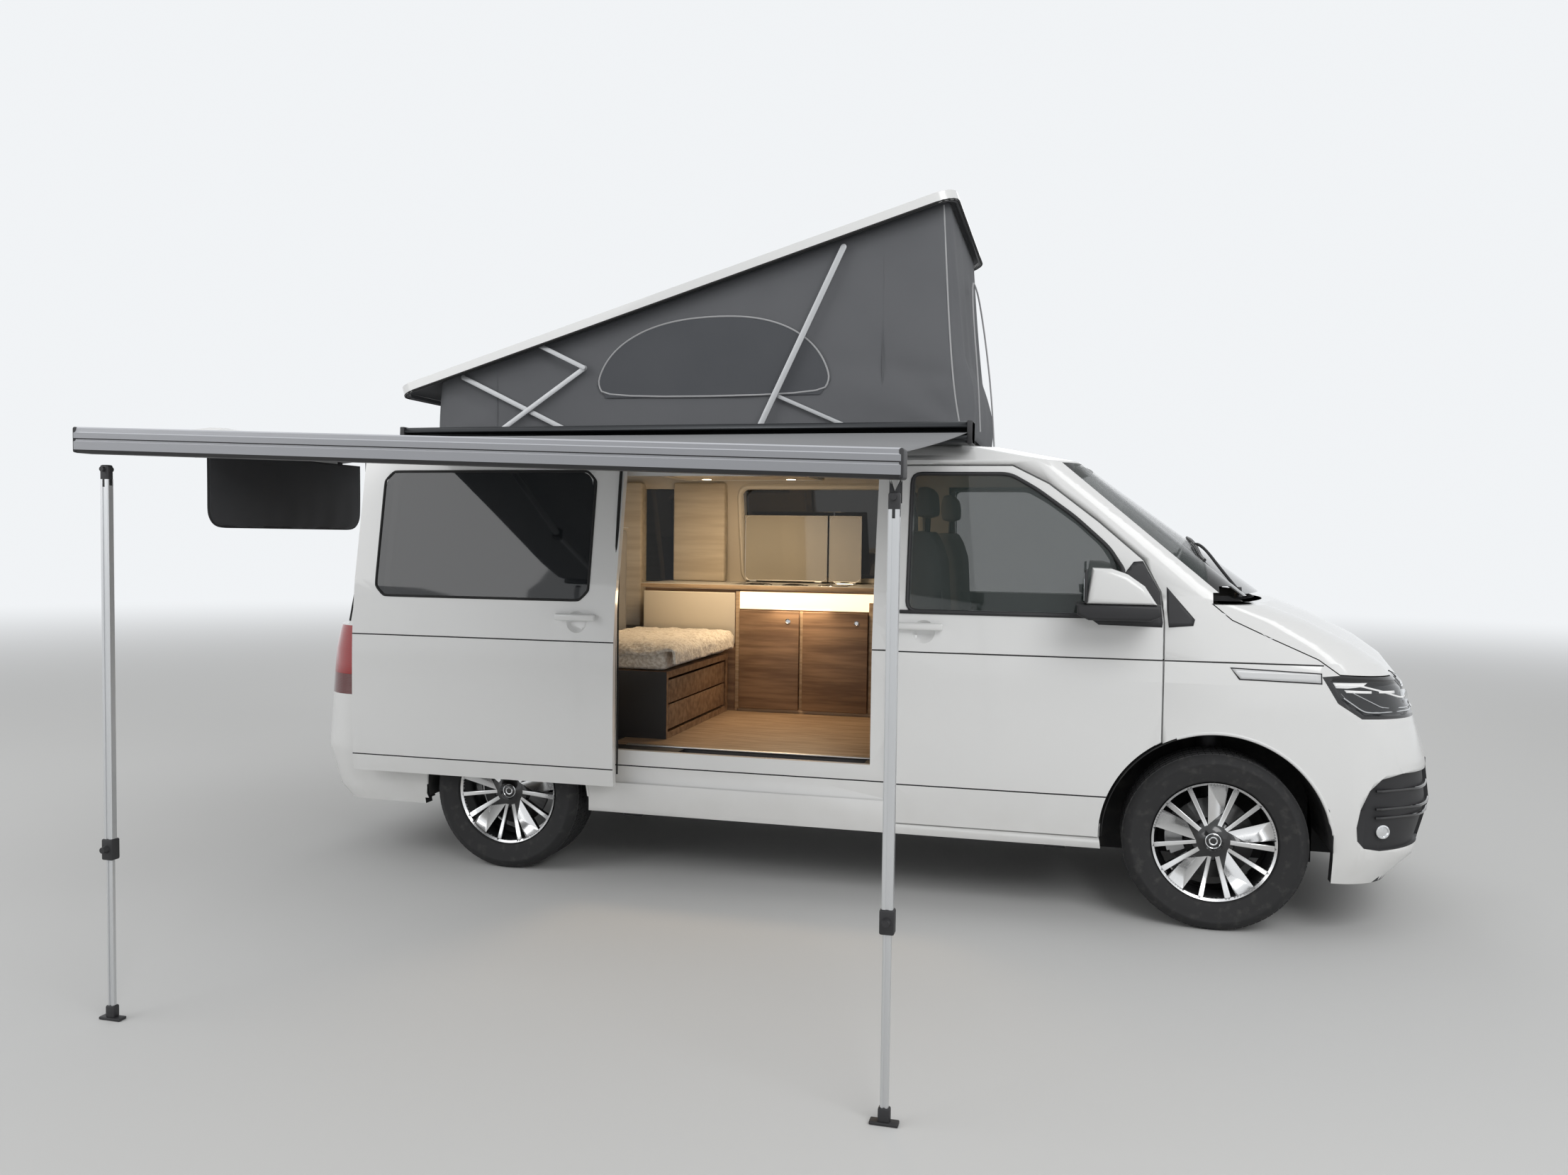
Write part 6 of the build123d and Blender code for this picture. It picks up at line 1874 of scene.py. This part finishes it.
piece("burners", burners, "black_steel")
basin, rim_wire = bmesh.new(), bmesh.new()
plate(basin, rounded((-0.379, 0.431), (-0.241, 0.759), 0.03), 2, 1.1412, 1.1428)
piece("basin_floor", basin, "bare_steel")
wire(rim_wire, [(x, y, 1.2468) for x, y in rounded((-0.384, 0.426), (-0.236, 0.764), 0.026)], 0.0035,
     closed=True, smooth=False)
turned(rim_wire, [(0.024, 0.0), (0.024, 0.003), (0.018, 0.003), (0.016, 0.0)], (-0.31, 0.52, 1.1428), (0, 0, 1), 24)
piece("basin_rim", rim_wire, "chrome")
for name, (left, right) in {"rear": (-0.893, -0.411), "front": (-0.401, -0.216)}.items():
    edge = bmesh.new()
    wire(edge, [(x, 0.79, z) for x, z in rounded((left + 0.003, 1.259), (right - 0.003, 1.625), 0.03)], 0.0034,
         closed=True, smooth=False, sides=2)
    for x in (left + 0.05, right - 0.05):
        bar(edge, (x - 0.02, 0.79, 1.2545), (x + 0.02, 0.79, 1.2545), 0.006, steps=12)
    piece(f"glass_lid_edge_{name}", edge, "aluminium", f"glass_lid_{name}")

# %% Ceiling lamps
ceiling, rings, bulbs = bmesh.new(), bmesh.new(), bmesh.new()
wire(ceiling, [(x, y, 1.8165) for x, y in rounded((-1.146, -0.536), (-0.384, 0.536), 0.04)], 0.006,
     closed=True, smooth=False)
piece("ceiling_edge", ceiling, "aluminium")
for x, y in ((-1.0, -0.4), (-0.53, -0.4), (-1.0, 0.4), (-0.53, 0.4)):
    turned(rings, [(0.034, 0.0), (0.034, 0.004), (0.027, 0.004), (0.027, 0.0)], (x, y, 1.8145), (0, 0, -1), 32)
    turned(bulbs, [(0.026, 0.0), (0.026, 0.002), (0.0001, 0.003), (0.0001, 0.0)], (x, y, 1.8145), (0, 0, -1), 32)
piece("ceiling_rings", rings, "chrome")
piece("ceiling_bulbs", bulbs, "warm_lamp")

# %% [markdown]
# The floor is laid with wood-look boards that end in a metal trim at the doorway. One step down
# there is a second board, with a dark riser behind it and a metal trim along its edge.

# %% Floor, step and bench front
boards = bmesh.new()
plate(boards, [(-1.05, -0.786), (0.24, -0.786), (0.24, 0.35), (-1.05, 0.35)], 2, 0.5674, 0.5704)
piece("floor_boards", boards, "floor_wood")
blocks("step_board", "floor_wood", ((-0.696, -0.866, 0.4324), (0.116, -0.8, 0.4372), 0.001))
blocks("floor_trims", "aluminium", ((-0.972, -0.806, 0.5674), (0.138, -0.782, 0.5734), 0.002),
       ((-0.697, -0.8715, 0.4324), (0.117, -0.8655, 0.4402), 0.0015))
blocks("step_riser", "black_trim", ((-0.696, -0.8125, 0.4372), (0.116, -0.8105, 0.562), 0.0006))
bench = merged("bench_base")
for face in bench.faces:
    spot = face.calc_center_median() - MIDDLE
    if face.normal.y < -0.7 and spot.y < -0.6 and spot.x > -1.52:
        face.material_index = 1
piece("bench_frame", bench, ("cabinet_wood", "black_trim"), "body", ("bench_base",), 30, outwards=False)
blocks("bench_front", "cabinet_wood",
       *(((-0.862, -0.586, low), (-0.8505, 0.276, high), 0.003) for low, high in ((0.612, 0.724), (0.732, 0.838))))

# %% Cab fittings
blocks("dash_vents", "gloss_black",
       *(((1.1, y - 0.07, 1.105), (1.128, y + 0.07, 1.165), 0.008) for y in (-0.62, -0.14, 0.14, 0.72)))
blocks("dash_screen", "gloss_black", ((1.096, -0.13, 0.985), (1.122, 0.13, 1.09), 0.006))
hub = bmesh.new()
turn = math.radians(28.0)
facing = Vector((-math.cos(turn), 0, math.sin(turn)))
hub_place = Vector((1.01, 0.47, 1.13)) + facing * 0.0205
turned(hub, [(0.07, -0.012), (0.07, 0.006), (0.05, 0.016), (0.0001, 0.018), (0.0001, -0.012)], hub_place, facing, 40)
piece("horn_pad", hub, "black_trim", "steering_wheel")
